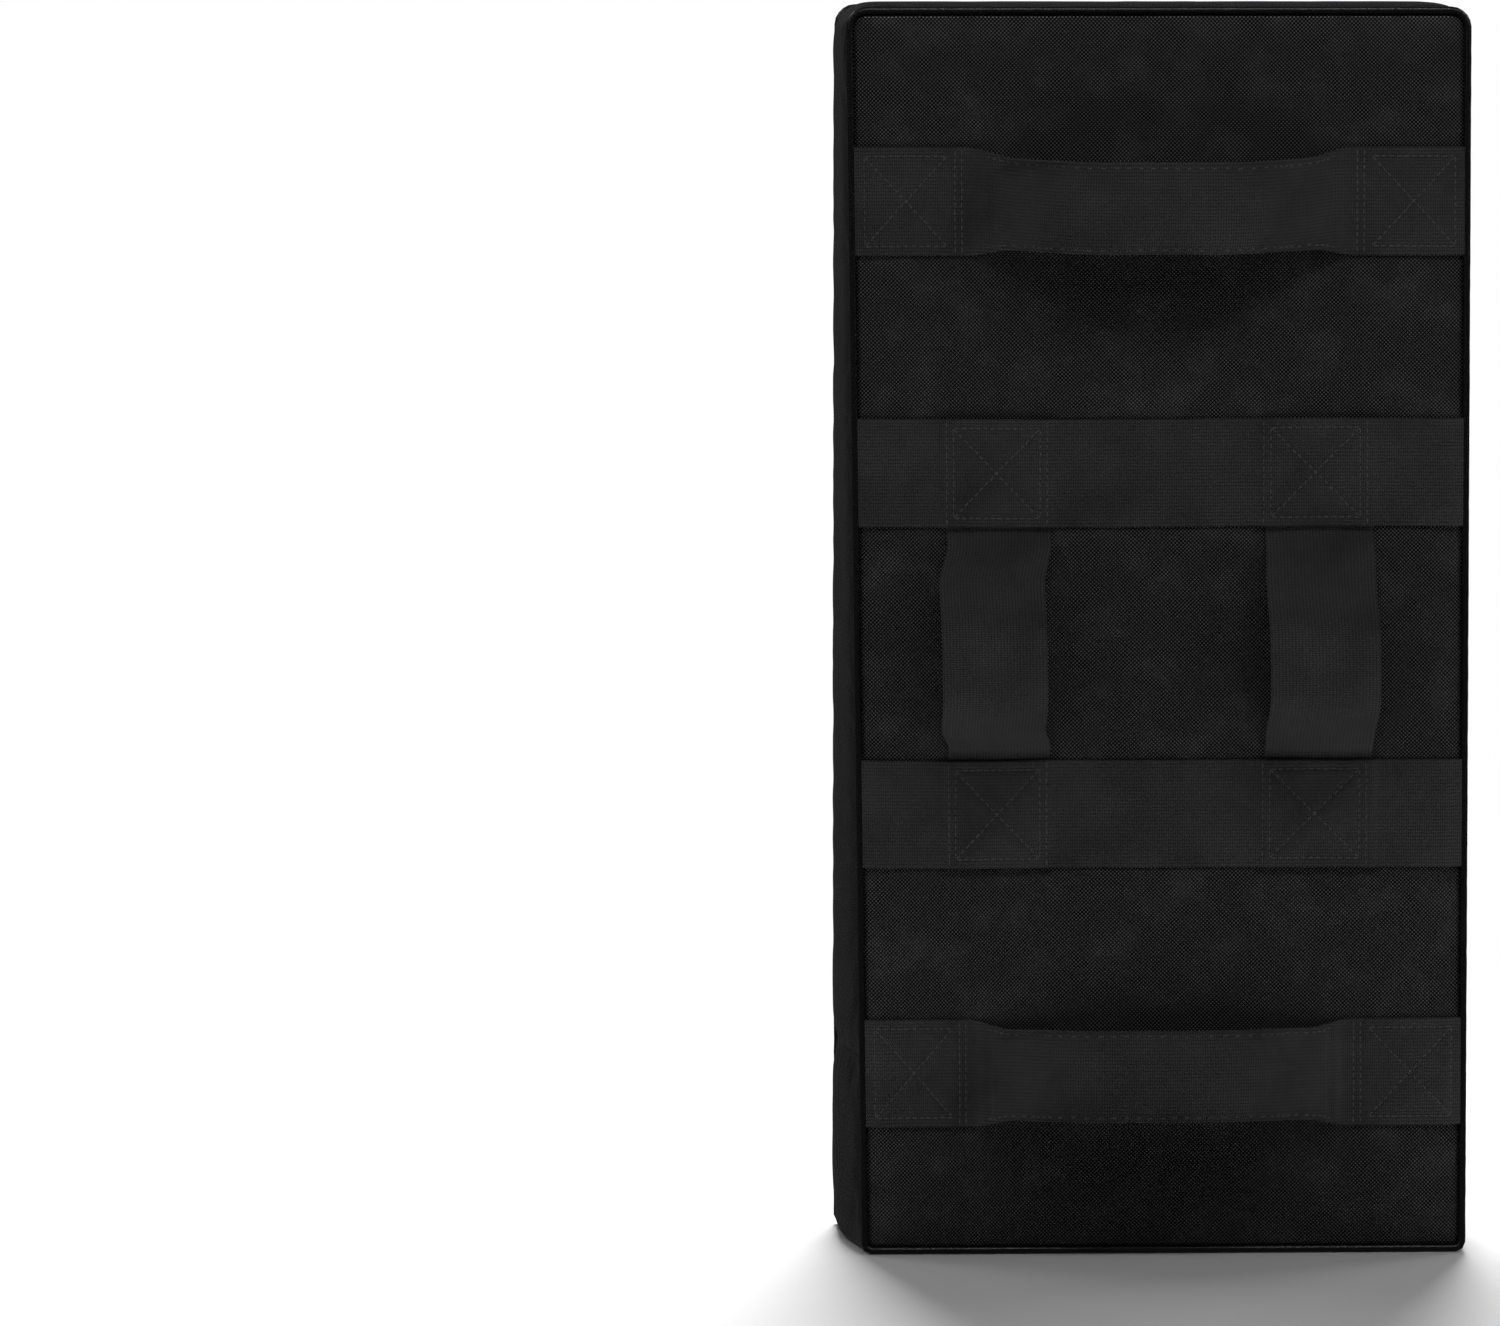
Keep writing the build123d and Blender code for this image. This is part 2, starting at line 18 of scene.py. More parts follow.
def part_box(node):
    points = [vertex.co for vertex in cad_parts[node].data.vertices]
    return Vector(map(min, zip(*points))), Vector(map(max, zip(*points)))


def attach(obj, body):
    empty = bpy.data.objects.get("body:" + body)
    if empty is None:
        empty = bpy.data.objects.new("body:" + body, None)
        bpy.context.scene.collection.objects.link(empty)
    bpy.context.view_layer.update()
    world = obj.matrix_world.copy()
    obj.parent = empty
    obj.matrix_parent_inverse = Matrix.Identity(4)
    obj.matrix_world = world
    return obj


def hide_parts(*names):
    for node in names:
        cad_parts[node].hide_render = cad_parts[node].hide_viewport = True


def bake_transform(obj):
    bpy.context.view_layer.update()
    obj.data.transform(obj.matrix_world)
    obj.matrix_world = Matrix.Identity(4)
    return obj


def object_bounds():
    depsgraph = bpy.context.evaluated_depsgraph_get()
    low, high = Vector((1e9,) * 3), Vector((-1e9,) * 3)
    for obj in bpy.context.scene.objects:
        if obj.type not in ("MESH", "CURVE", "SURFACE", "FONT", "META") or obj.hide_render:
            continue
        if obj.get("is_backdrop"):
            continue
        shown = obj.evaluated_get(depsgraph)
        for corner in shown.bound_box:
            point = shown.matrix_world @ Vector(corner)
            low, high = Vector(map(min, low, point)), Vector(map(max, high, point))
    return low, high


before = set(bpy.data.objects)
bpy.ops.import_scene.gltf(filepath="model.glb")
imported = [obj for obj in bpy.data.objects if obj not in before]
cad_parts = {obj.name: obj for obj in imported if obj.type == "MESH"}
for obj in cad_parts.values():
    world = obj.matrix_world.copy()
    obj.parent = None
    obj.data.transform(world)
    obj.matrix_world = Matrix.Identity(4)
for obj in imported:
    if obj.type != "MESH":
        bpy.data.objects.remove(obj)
cad_low, cad_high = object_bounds()
MM = 0.001

# %% Read the slab's main places
slab_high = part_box("back_piping")[1]
HALF = slab_high.x  # half of the slab's width
TOP = slab_high.z
BACK = slab_high.y
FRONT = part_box("front_piping")[0].y
CROSS_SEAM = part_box("gusset_lower")[1].z  # where the side strip meets the base strip
TOP_CORNER = 10 * MM
BASE_CORNER = 5 * MM
print(f"slab {2 * HALF:.3f} wide, {BACK - FRONT:.3f} deep, {TOP:.3f} high; cross seam at {CROSS_SEAM:.3f}")


# %% [markdown]
# ## Camera
# A long lens from five metres keeps the shield's edges nearly parallel, as a catalogue picture
# does. The camera stands behind the shield, a little to the holder's left, so that one side strip
# shows, and high enough to see the top strip as a thin line. It is aimed past the shield, which
# puts the shield in the right half of the picture.

# %% Stand the camera behind the shield
PICTURE_WIDTH = 1500
PICTURE_HEIGHT = 1326
SPAN = 0.729  # width of the picture at the shield, in metres
DISTANCE = 5.0
AZIMUTH = 175.6
ELEVATION = 4.0
ASIDE = 0.1934  # how far the aim passes beside the shield's middle
BELOW = 0.0195


def direction(azimuth, elevation):
    """A unit vector from the shield, by degrees round from the strike face and degrees up."""
    turn, rise = math.radians(azimuth), math.radians(elevation)
    return Vector((math.sin(turn) * math.cos(rise), -math.cos(turn) * math.cos(rise), math.sin(rise)))


def new_object(name, data):
    made = bpy.data.objects.new(name, data)
    bpy.context.scene.collection.objects.link(made)
    return made


def look_along(thing, way):
    thing.rotation_mode = "QUATERNION"
    thing.rotation_quaternion = way.to_track_quat("-Z", "Y")


camera_data = bpy.data.cameras.new("camera")
camera = new_object("camera", camera_data)
bpy.context.scene.camera = camera
towards_camera = direction(AZIMUTH, ELEVATION)
middle = Vector((0, 0, TOP / 2))
to_the_left = towards_camera.cross(Vector((0, 0, 1))).normalized()
aim = middle + to_the_left * ASIDE - Vector((0, 0, BELOW))
camera.location = middle + towards_camera * DISTANCE
look_along(camera, aim - camera.location)
camera_data.lens = camera_data.sensor_width * DISTANCE / SPAN
picture_high = SPAN * PICTURE_HEIGHT / PICTURE_WIDTH
print(f"lens {camera_data.lens:.0f} mm; the picture is {picture_high:.3f} m high at the shield")


# %% [markdown]
# ## Writing shaders as sums
# A shader graph is arithmetic. The class below wraps one output socket, so that plus, minus,
# times and powers on it add the Math nodes themselves. Every other node comes from one method,
# which takes the node's type, its settings and what goes into its sockets.

# %% A small language for materials
def operator(operation, swapped=False):
    """What a Wire does when that sign of arithmetic is used on it."""
    def method(self, other):
        pair = (other, self) if swapped else (self, other)
        return self.recipe.maths(operation, *pair)
    return method


class Wire:
    """One socket's output, which can be used in plain arithmetic."""

    __add__ = operator("ADD")
    __radd__ = operator("ADD", swapped=True)
    __sub__ = operator("SUBTRACT")
    __rsub__ = operator("SUBTRACT", swapped=True)
    __mul__ = operator("MULTIPLY")
    __pow__ = operator("POWER")

    def __init__(self, recipe, socket):
        self.recipe = recipe
        self.socket = socket

    def __abs__(self):
        return self.recipe.maths("ABSOLUTE", self)

    def sine(self):
        return self.recipe.maths("SINE", self)

    def held(self):
        """Kept between 0 and 1."""
        return self.recipe.maths("MINIMUM", self.recipe.maths("MAXIMUM", self, 0.0), 1.0)


class Recipe:
    """A material while it is being written."""

    def __init__(self, name, **constants):
        self.material = bpy.data.materials.new(name)
        self.material.use_nodes = True
        self.tree = self.material.node_tree
        self.surface = self.tree.nodes["Principled BSDF"]
        for socket, value in constants.items():
            self.surface.inputs[socket.replace("_", " ")].default_value = value

    def node(self, kind, settings=None, inputs=None, output=0):
        """Adds a node, sets it, feeds its sockets, and returns one of its outputs."""
        made = self.tree.nodes.new("ShaderNode" + kind)
        for key, value in (settings or {}).items():
            setattr(made, key, value)
        for key, value in (inputs or {}).items():
            self.feed(made.inputs[key], value)
        return Wire(self, made.outputs[output])

    def feed(self, socket, value):
        if isinstance(value, Wire):
            self.tree.links.new(value.socket, socket)
        else:
            socket.default_value = value

    def maths(self, operation, *values):
        return self.node("Math", {"operation": operation}, dict(enumerate(values)))

    def flat(self):
        """The cloth's own flat coordinates, in metres: along it, and across it."""
        place = self.node("UVMap", {"uv_map": "flat"})
        split = self.tree.nodes.new("ShaderNodeSeparateXYZ")
        self.tree.links.new(place.socket, split.inputs[0])
        return Wire(self, split.outputs[0]), Wire(self, split.outputs[1]), place

    def space(self):
        return self.node("TexCoord", output=3)

    def grain(self, where, scale, detail=2.0, roughness=0.5):
        """Noise about one half, scale features per metre."""
        inputs = {"Vector": where, "Scale": scale, "Detail": detail, "Roughness": roughness}
        return self.node("TexNoise", None, inputs)

    def blend(self, amount, first, second):
        """From the first colour to the second."""
        inputs = {0: amount, 6: first, 7: second}
        return self.node("Mix", {"data_type": "RGBA"}, inputs, output=2)

    def borders(self, where, cells):
        """Distance to the nearest border of a pattern of cells, that many to a metre."""
        inputs = {"Vector": where, "Scale": cells}
        return self.node("TexVoronoi", {"feature": "DISTANCE_TO_EDGE"}, inputs)

    def bump(self, height, depth):
        return self.node("Bump", None, {"Height": height, "Distance": depth})

    def finish(self, **driven):
        for socket, value in driven.items():
            self.feed(self.surface.inputs[socket.replace("_", " ")], value)
        return self.material


def rgb(red, green, blue):
    """A colour socket's value from 0 to 255 screen values."""
    def linear(part):
        share = part / 255
        return share / 12.92 if share < 0.04045 else ((share + 0.055) / 1.055) ** 2.4
    return (linear(red), linear(green), linear(blue), 1.0)


print("a mid grey is", [round(part, 3) for part in rgb(128, 128, 128)])


# %% [markdown]
# ## Floor and light
# Black vinyl is mostly what it reflects, so the room has to be dark where it is mirrored and bright
# where it is only looked at. The floor is a pale disc that fades out a metre away, and the room
# behind it is white for the eye but dim for everything else. One soft sun stands in front of the
# strike face, half way up, so that the slab's shadow falls on the floor behind it. Five softboxes
# stand round the shield. Each grazes the swellings of the vinyl from another side.

# %% Lay the floor
FLOOR_TONE = 0.72
FLOOR_REACH = 1.3
FLOOR_FADE = (0.55, 1.2)  # from the middle of the floor, in metres
floor_mesh = bpy.data.meshes.new("floor")
floor_mesh.from_pydata(
    [(sx * FLOOR_REACH, sy * FLOOR_REACH, 0) for sx, sy in ((-1, -1), (1, -1), (1, 1), (-1, 1))],
    [],
    [(0, 1, 2, 3)],
)
floor = new_object("floor", floor_mesh)
floor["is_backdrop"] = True
floor.visible_glossy = False  # so pale a floor would glare in the black strips
paint = Recipe(
    "floor_paint", Base_Color=(FLOOR_TONE, FLOOR_TONE, FLOOR_TONE, 1), Roughness=0.9, Specular_IOR_Level=0.0
)
from_middle = paint.node("VectorMath", {"operation": "LENGTH"}, {0: paint.space()}, output=1)
fade = {"Value": from_middle, "To Min": 1.0, "To Max": 0.0}
fade["From Min"], fade["From Max"] = FLOOR_FADE
opacity = paint.node("MapRange", {"interpolation_type": "SMOOTHSTEP"}, fade)
floor_mesh.materials.append(paint.finish(Alpha=opacity))

# %% Hang the lights
SOFTBOXES = (  # azimuth and elevation in degrees, distance, width and height in metres, power
    ("softbox_back_left", 124, 36, 2.1, 0.22, 1.0, 2.6),
    ("softbox_back_right", 238, 34, 2.1, 0.25, 1.0, 3.0),
    ("softbox_above_back", 188, 52, 1.5, 0.9, 0.22, 3.4),
    ("softbox_front_left", 310, 36, 2.4, 0.9, 1.0, 9),
    ("softbox_front_right", 52, 40, 2.4, 0.9, 1.0, 7),
)
SUN_HEIGHT = math.radians(54)
SUN_POWER = 4.8
SUN_WIDTH = math.radians(16)  # how soft the shadow's edge is
ROOM_SEEN = 1.0
ROOM_FELT = 0.05

for name, azimuth, elevation, distance, width, height, power in SOFTBOXES:
    data = bpy.data.lights.new(name, "AREA")
    data.shape = "RECTANGLE"
    data.size = width
    data.size_y = height
    data.energy = power
    out = direction(azimuth, elevation)
    lamp = new_object(name, data)
    lamp.location = middle + out * distance
    look_along(lamp, -out)

sun_data = bpy.data.lights.new("overhead", "SUN")
sun_data.energy = SUN_POWER
sun_data.angle = SUN_WIDTH
sun = new_object("overhead", sun_data)
sun.visible_glossy = False  # a small sun would sparkle in every pore of the vinyl
look_along(sun, Vector((0.02, math.cos(SUN_HEIGHT), -math.sin(SUN_HEIGHT))))

world = bpy.data.worlds.new("room")
bpy.context.scene.world = world
world.use_nodes = True
room = world.node_tree
room.nodes.clear()
seen, felt, ray, choice, room_out = (
    room.nodes.new("ShaderNode" + kind)
    for kind in ("Background", "Background", "LightPath", "MixShader", "OutputWorld")
)
seen.inputs["Color"].default_value = (ROOM_SEEN, ROOM_SEEN, ROOM_SEEN, 1)
felt.inputs["Color"].default_value = (ROOM_FELT, ROOM_FELT, ROOM_FELT * 1.02, 1)
room.links.new(ray.outputs["Is Camera Ray"], choice.inputs["Fac"])
room.links.new(felt.outputs["Background"], choice.inputs[1])
room.links.new(seen.outputs["Background"], choice.inputs[2])
room.links.new(choice.outputs["Shader"], room_out.inputs["Surface"])
bpy.context.scene.view_settings.view_transform = "Standard"


# %% [markdown]
# ## Embossed vinyl
# Both big panels are cut from vinyl that was rolled hot between two cylinders, which leaves rows
# of tiny raised diamonds, 1.85 mm apart. Two sets of crossed waves give the diamonds. Their
# tops are painted lighter, a painted highlight, and their valleys darker, a painted shade. A slow
# cloud changes the sheen, because such sheet is never equally glossy over half a metre.

# %% Mix the two embossed vinyls
DIAMOND = 1.85 * MM
EMBOSS = 0.70 * MM


def raised_diamonds(along, across):
    """1 on the top of each diamond, 0 in the valleys between them."""
    turn = math.pi / DIAMOND
    one_way = abs(((along + across) * turn).sine())
    other_way = abs(((along - across) * turn).sine())
    return (one_way * other_way) ** 0.6


def embossed_vinyl(name, highlit_peak, shaded_valley, worn, rough, gloss):
    vinyl = Recipe(name, Specular_IOR_Level=0.15, Coat_Roughness=gloss)
    along, across, place = vinyl.flat()
    diamonds = raised_diamonds(along, across)
    cloud = vinyl.grain(place, 7.0, 3.0)
    pores = vinyl.grain(place, 2600.0, 1.0)
    rubbed = (vinyl.grain(place, 38.0, 4.0, 0.6) * 3.0 - 1.45).held()
    # painted highlight on the diamonds' tops and painted shade in their valleys
    colour = vinyl.blend((diamonds * 2.0 - 0.85).held(), shaded_valley, highlit_peak)
    colour = vinyl.blend(rubbed * diamonds * 0.6, colour, worn)
    return vinyl.finish(
        Base_Color=colour,
        Roughness=rough + (cloud - 0.5) * 0.24 + (pores - 0.5) * 0.05,
        Coat_Weight=(diamonds * 1.6 - 0.5 + (cloud - 0.5) * 0.5).held(),
        Normal=vinyl.bump(diamonds + pores * 0.12, EMBOSS),
    )


# first colour: tops with a painted highlight; second: valleys with a painted shade; third: worn tops
red_vinyl = embossed_vinyl(
    "red_vinyl", rgb(190, 16, 17), rgb(164, 8, 10), rgb(198, 36, 34), rough=0.50, gloss=0.30
)
black_vinyl = embossed_vinyl(
    "black_vinyl", rgb(90, 90, 91), rgb(1, 1, 1), rgb(106, 106, 108), rough=0.50, gloss=0.22
)
print("vinyl diamonds every", DIAMOND / MM, "mm")

# %% [markdown]
# ## Smooth vinyl for the strips and the piping
# The strips round the edge are plain glossy vinyl with only a fine leather-like creasing. Creases
# are cells of a Voronoi pattern, seen by their borders, which are painted darker as a painted
# shade. The piping is the same sheet, pulled tight over a cord, so its creases are finer.

# %% Mix the smooth vinyls
CREASE_DEPTH = 0.05 * MM


def creased_vinyl(name, face, crease_shade_and_tone, rough, gloss, cells):
    vinyl = Recipe(name, Specular_IOR_Level=gloss)
    _, _, place = vinyl.flat()
    wander = vinyl.grain(place, cells * 0.5, 2.0)
    plain = (vinyl.borders(place, cells) * 9.0).held()
    cloud = vinyl.grain(place, 16.0, 3.0)
    # painted shade: the borders of the cells, the creases, take the darker colour
    colour = vinyl.blend(plain, crease_shade_and_tone, face)
    colour = vinyl.blend((cloud - 0.35).held() * 0.5, colour, crease_shade_and_tone)
    return vinyl.finish(
        Base_Color=colour,
        Roughness=rough + (cloud - 0.5) * 0.14 + (1 - plain) * 0.12,
        Normal=vinyl.bump(plain * 0.5 + wander * 0.8, CREASE_DEPTH),
    )


# the second colour of each is the painted shade in the creases, also used for darker patches
strip_vinyl = creased_vinyl("strip_vinyl", rgb(22, 22, 23), rgb(11, 11, 12), 0.25, 0.30, 700.0)
piping_vinyl = creased_vinyl("piping_vinyl", rgb(16, 16, 17), rgb(9, 9, 10), 0.18, 0.55, 1300.0)

# %% [markdown]
# ## Webbing, thread and tape
# Webbing is woven from flat filaments: fine ribs run across it, where the filling yarns turn, and
# warp yarns pass over and under them. One product of two waves is that over and under, a third
# wave is the ribs, and a fourth the cords along it. It is nearly matte. Its raised yarns are painted
# lighter and its hollows darker, a painted highlight and a painted shade. The thread is the same
# nylon, twisted, so its bump is a slanted wave.

# %% Mix the textiles
def woven(name, high, low, rough, warp, weft, depth):
    cloth = Recipe(name, Specular_IOR_Level=0.10, Sheen_Weight=0.04, Sheen_Roughness=0.6)
    along, across, place = cloth.flat()
    sway = cloth.grain(place, 420.0, 2.0) * 0.9
    over = (along * (2 * math.pi / weft) + sway).sine() * (across * (2 * math.pi / warp)).sine()
    ribs = abs((along * (math.pi / weft) + sway * 0.5).sine())
    cords = abs((across * (math.pi / warp)).sine())
    height = over * 0.22 + ribs * 0.40 + cords * 0.38
    cloud = cloth.grain(place, 26.0, 4.0, 0.6)
    fluff = cloth.grain(place, 3200.0, 2.0)
    # painted highlight and shade: the raised yarns take the light colour high, the hollows the dark colour
    # low
    colour = cloth.blend((height * 0.8 + fluff * 0.5 - 0.1).held(), low, high)
    colour = cloth.blend((cloud - 0.42).held() * 1.2, colour, low)
    return cloth.finish(
        Base_Color=colour,
        Roughness=rough + (fluff - 0.5) * 0.2 - (cloud - 0.5) * 0.1,
        Normal=cloth.bump(height + fluff * 0.25, depth),
    )


# first colour of each: painted highlight on the raised yarns; second: painted shade in the hollows, and the
# darker patches
webbing = woven("webbing", rgb(82, 82, 84), rgb(12, 12, 13), 0.72, 1.6 * MM, 1.1 * MM, 0.40 * MM)
zip_cloth = woven("zip_cloth", rgb(70, 70, 72), rgb(20, 20, 21), 0.85, 0.8 * MM, 0.6 * MM, 0.1 * MM)

twisted = Recipe("thread", Specular_IOR_Level=0.4)
thread_along, thread_round, _ = twisted.flat()
strands = abs((thread_along * 5200.0 + thread_round * 3.0).sine())
# the strands' crowns carry a painted highlight in the lighter colour, and painted shade lies between them
thread = twisted.finish(
    Base_Color=twisted.blend(strands, rgb(26, 26, 27), rgb(96, 96, 99)),
    Roughness=0.50 - strands * 0.12,
    Normal=twisted.bump(strands, 0.06 * MM),
)

# %% [markdown]
# ## Foam, nylon, lacquer and ink
# Foam shows cells: borders of a Voronoi pattern in space, since a block of foam has no flat
# coordinates of its own. The hollow of each cell is darker than its walls, a painted shade. The
# zip's coils are glossy nylon. Its metal parts are lacquered black, with fine scratches through to
# the brass. The inks lie on the vinyl, so they share its diamonds.

# %% Mix the rest
def foam_cells(name, wall, shaded_hollow, cells, rough):
    foam = Recipe(name, Specular_IOR_Level=0.2)
    place = foam.space()
    walls = (1 - foam.borders(place, cells) * 5.0).held()
    cloud = foam.grain(place, 12.0, 3.0)
    # painted shade: the hollow of each cell is darker than its walls
    colour = foam.blend((walls * 0.8 + (cloud - 0.5) * 0.4).held(), shaded_hollow, wall)
    return foam.finish(
        Base_Color=colour,
        Roughness=rough + (cloud - 0.5) * 0.1,
        Normal=foam.bump(walls, 0.5 * MM),
    )


# the second colour of each is the painted shade inside the cells
dense_foam = foam_cells("dense_foam", rgb(92, 92, 95), rgb(60, 60, 63), 900.0, 0.8)
soft_foam = foam_cells("soft_foam", rgb(226, 216, 178), rgb(176, 162, 120), 500.0, 0.95)
firm_foam = foam_cells("firm_foam", rgb(236, 236, 232), rgb(205, 206, 204), 1100.0, 0.7)


def worn_paint(name, paint, under, rough, metal, edge):
    """A smooth skin with fine scratches through to what is under it."""
    skin = Recipe(name, Specular_IOR_Level=0.5)
    place = skin.space()
    scratch = (skin.grain(place, 900.0, 5.0, 0.7) * 6.0 - edge).held()
    cloud = skin.grain(place, 120.0, 3.0)
    return skin.finish(
        Base_Color=skin.blend(scratch, paint, under),
        Metallic=scratch * metal,
        Roughness=rough + (cloud - 0.5) * 0.2 + scratch * 0.1,
        Normal=skin.bump(cloud - scratch * 0.4, 0.05 * MM),
    )


zip_metal = worn_paint("zip_metal", rgb(24, 24, 25), rgb(150, 126, 84), 0.32, 0.9, 3.9)
zip_nylon = worn_paint("zip_nylon", rgb(26, 26, 27), rgb(60, 60, 62), 0.36, 0.0, 3.6)


def ink(name, fresh, thin, rough):
    print_film = Recipe(name, Specular_IOR_Level=0.4)
    along, across, place = print_film.flat()
    diamonds = raised_diamonds(along, across)
    patches = print_film.grain(place, 60.0, 4.0, 0.65)
    worn = ((patches - 0.5) * 1.6 + (1 - diamonds) * 0.15).held()
    return print_film.finish(
        Base_Color=print_film.blend(worn, fresh, thin),
        Roughness=rough + (patches - 0.5) * 0.15,
        Normal=print_film.bump(diamonds, EMBOSS * 0.7),
    )


white_ink = ink("white_ink", rgb(240, 240, 240), rgb(214, 206, 204), 0.42)
black_ink = ink("black_ink", rgb(13, 13, 14), rgb(26, 22, 23), 0.38)
print("materials:", len(bpy.data.materials))


# %% [markdown]
# ## Grids, lofts and the tug
# Nearly every piece is a sheet or a strip, so it starts as a grid of points. Each grid also
# carries its own flat coordinates in metres, which the materials read, so that a weave keeps its
# scale where the cloth bends. A sewn cover never comes out quite square: this one's back is a
# little narrow on the holder's left, more so towards the base, and the side strip shows round the
# edge there. One function tugs every piece on the shield the same way, so that nothing comes
# apart. Another hides the frame's solids that each finished piece stands for, and fastens most
# pieces to a body.

# %% Helpers for grids
BACK_TUCK = 8 * MM


def ease(share):
    """Smooth step from 0 to 1."""
    share = np.clip(share, 0, 1)
    return share * share * (3 - 2 * share)


def tug(points):
    """Pulls the cover's back edge on the holder's left inwards, more towards the base."""
    moved = np.array(points, float)
    x, y, z = moved[:, 0], moved[:, 1], moved[:, 2]
    amount = BACK_TUCK * np.clip(1 - z / TOP, 0, 1)
    deep = ease((y + 0.3 * BACK) / (1.3 * BACK))
    aside = ease((x - 0.3 * HALF) / (0.7 * HALF))
    moved[:, 0] = x - amount * deep * aside
    return moved


def ripple(x, y, z, size):
    """Smooth noise from -1 to 1 at each point, with hills about that size, in metres."""
    x, y, z = np.broadcast_arrays(x, y, z)
    found = [noise.noise(Vector(p) / size) for p in zip(x.ravel(), y.ravel(), z.ravel())]
    return np.array(found).reshape(x.shape)


def grid_faces(rows, columns, ring=False):
    """Quads over a rows by columns grid of points. A ring joins the last column to the first."""
    index = np.arange(rows * columns).reshape(rows, columns)
    after = np.roll(index, -1, axis=1) if ring else index[:, 1:]
    here = index if ring else index[:, :-1]
    quads = np.stack([here[:-1], after[:-1], after[1:], here[1:]], axis=-1)
    return quads.reshape(-1, 4)


def piece(name, points, faces, material, flat=None, closed=False):
    """Makes a smooth mesh object in the frame's own coordinates."""
    mesh = bpy.data.meshes.new(name)
    mesh.from_pydata(np.asarray(points, float).tolist(), [], [list(map(int, f)) for f in faces])
    if flat is not None:
        flat = np.asarray(flat, float).reshape(-1, 2)
        corners = np.empty(len(mesh.loops), np.int32)
        mesh.loops.foreach_get("vertex_index", corners)
        mesh.uv_layers.new(name="flat").data.foreach_set("uv", flat[corners].ravel())
    if closed:
        shaper = bmesh.new()
        shaper.from_mesh(mesh)
        bmesh.ops.recalc_face_normals(shaper, faces=shaper.faces)
        shaper.to_mesh(mesh)
        shaper.free()
    mesh.polygons.foreach_set("use_smooth", np.ones(len(mesh.polygons), bool))
    mesh.materials.append(material)
    return new_object(name, mesh)


def baked(made, *modifiers):
    """Adds modifiers, given as (type, settings), and keeps only their result."""
    for kind, settings in modifiers:
        modifier = made.modifiers.new(kind.lower(), kind)
        for key, value in settings.items():
            setattr(modifier, key, value)
    graph = bpy.context.evaluated_depsgraph_get()
    result = bpy.data.meshes.new_from_object(made.evaluated_get(graph), depsgraph=graph)
    old = made.data
    made.modifiers.clear()
    made.data = result
    bpy.data.meshes.remove(old)
    result.polygons.foreach_set("use_smooth", np.ones(len(result.polygons), bool))


def places(mesh):
    found = np.empty(len(mesh.vertices) * 3)
    mesh.vertices.foreach_get("co", found)
    return found.reshape(-1, 3)


def place_at(made, points):
    made.data.vertices.foreach_set("co", np.asarray(points, float).ravel())
    made.data.update()


def dress(made, slot, *nodes, body="shield", bend=None):
    """Hides the solids a finished piece stands for, and fastens the piece to their body. With bend,
    two places, the piece is only baked where it stands and fastened to no body."""
    if bend is None:
        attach(made, body)
    else:
        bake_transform(made)
    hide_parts(*nodes)
    print(made.name, len(made.data.polygons), "faces")


# %% [markdown]
# ## How the cover swells
# Foam a little too big for its cover stretches it, so the vinyl rises between the seams and
# puckers beside them. Blender's Cloth does both: the grid is held at its seams and where
# webbing is sewn on, grown by a fraction of a percent, and blown outwards. Foam has a flat face,
# which a balloon hasn't, so the rise is then levelled off softly at a few millimetres.

# %% The swelling, by Cloth
SWELL_FRAMES = 16
SWELL_PRESSURE = 4.0
VINYL_STIFFNESS = 0.8


def facing_out(points, normals, rows, columns):
    """The faces of a grid, wound so that they look along its normals."""
    faces = grid_faces(rows, columns)
    first = points[faces[0]]
    facing = np.cross(first[1] - first[0], first[2] - first[1])
    return faces[:, ::-1] if facing @ normals[faces[0][0]] < 0 else faces


def swell(name, rest, outward, held, growth, most):
    """rest and outward are (rows, columns, 3). Returns the grid, blown up but where it is held."""
    rows, columns, _ = rest.shape
    points = rest.reshape(-1, 3)
    normals = outward.reshape(-1, 3)
    mesh = bpy.data.meshes.new(name + "_cloth")
    mesh.from_pydata(points.tolist(), [], facing_out(points, normals, rows, columns).tolist())
    body = new_object(name + "_cloth", mesh)
    body.vertex_groups.new(name="held").add(np.flatnonzero(held.ravel()).tolist(), 1.0, "REPLACE")
    cloth = body.modifiers.new("cloth", "CLOTH")
    cloth.settings.vertex_group_mass = "held"
    cloth.settings.use_pressure = True
    cloth.settings.uniform_pressure_force = SWELL_PRESSURE
    cloth.settings.shrink_min = -growth
    cloth.settings.bending_stiffness = VINYL_STIFFNESS
    cloth.settings.effector_weights.gravity = 0
    cloth.collision_settings.use_self_collision = False
    cloth.collision_settings.use_collision = False
    cloth.point_cache.frame_start = 1
    cloth.point_cache.frame_end = SWELL_FRAMES
    for step in range(1, SWELL_FRAMES + 1):
        bpy.context.scene.frame_set(step)
    graph = bpy.context.evaluated_depsgraph_get()
    blown = places(body.evaluated_get(graph).data)
    bpy.data.objects.remove(body)
    bpy.data.meshes.remove(mesh)
    bpy.context.scene.frame_set(1)
    moved = blown - points
    rise = (moved * normals).sum(1)
    aside = moved - rise[:, None] * normals
    reach = np.linalg.norm(aside, axis=1, keepdims=True)
    aside *= np.minimum(1, most / 2 / np.maximum(reach, 1e-9))
    level = most * np.tanh(rise / most)
    print(f"{name}: rose {rise.max() / MM:.1f} mm, levelled to {level.max() / MM:.1f}")
    return (points + normals * level[:, None] + aside).reshape(rest.shape)


# %% [markdown]
# ## The webbing's places
# The vinyl is held down wherever webbing is sewn to it, so those places are read from the
# frame before the cover is made: two grip bands across the whole back, the feet of the two
# handles, and the two loops between the bands.

# %% Read where the webbing lies
def middle_height(node):
    low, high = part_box(node)
    return (low.z + high.z) / 2


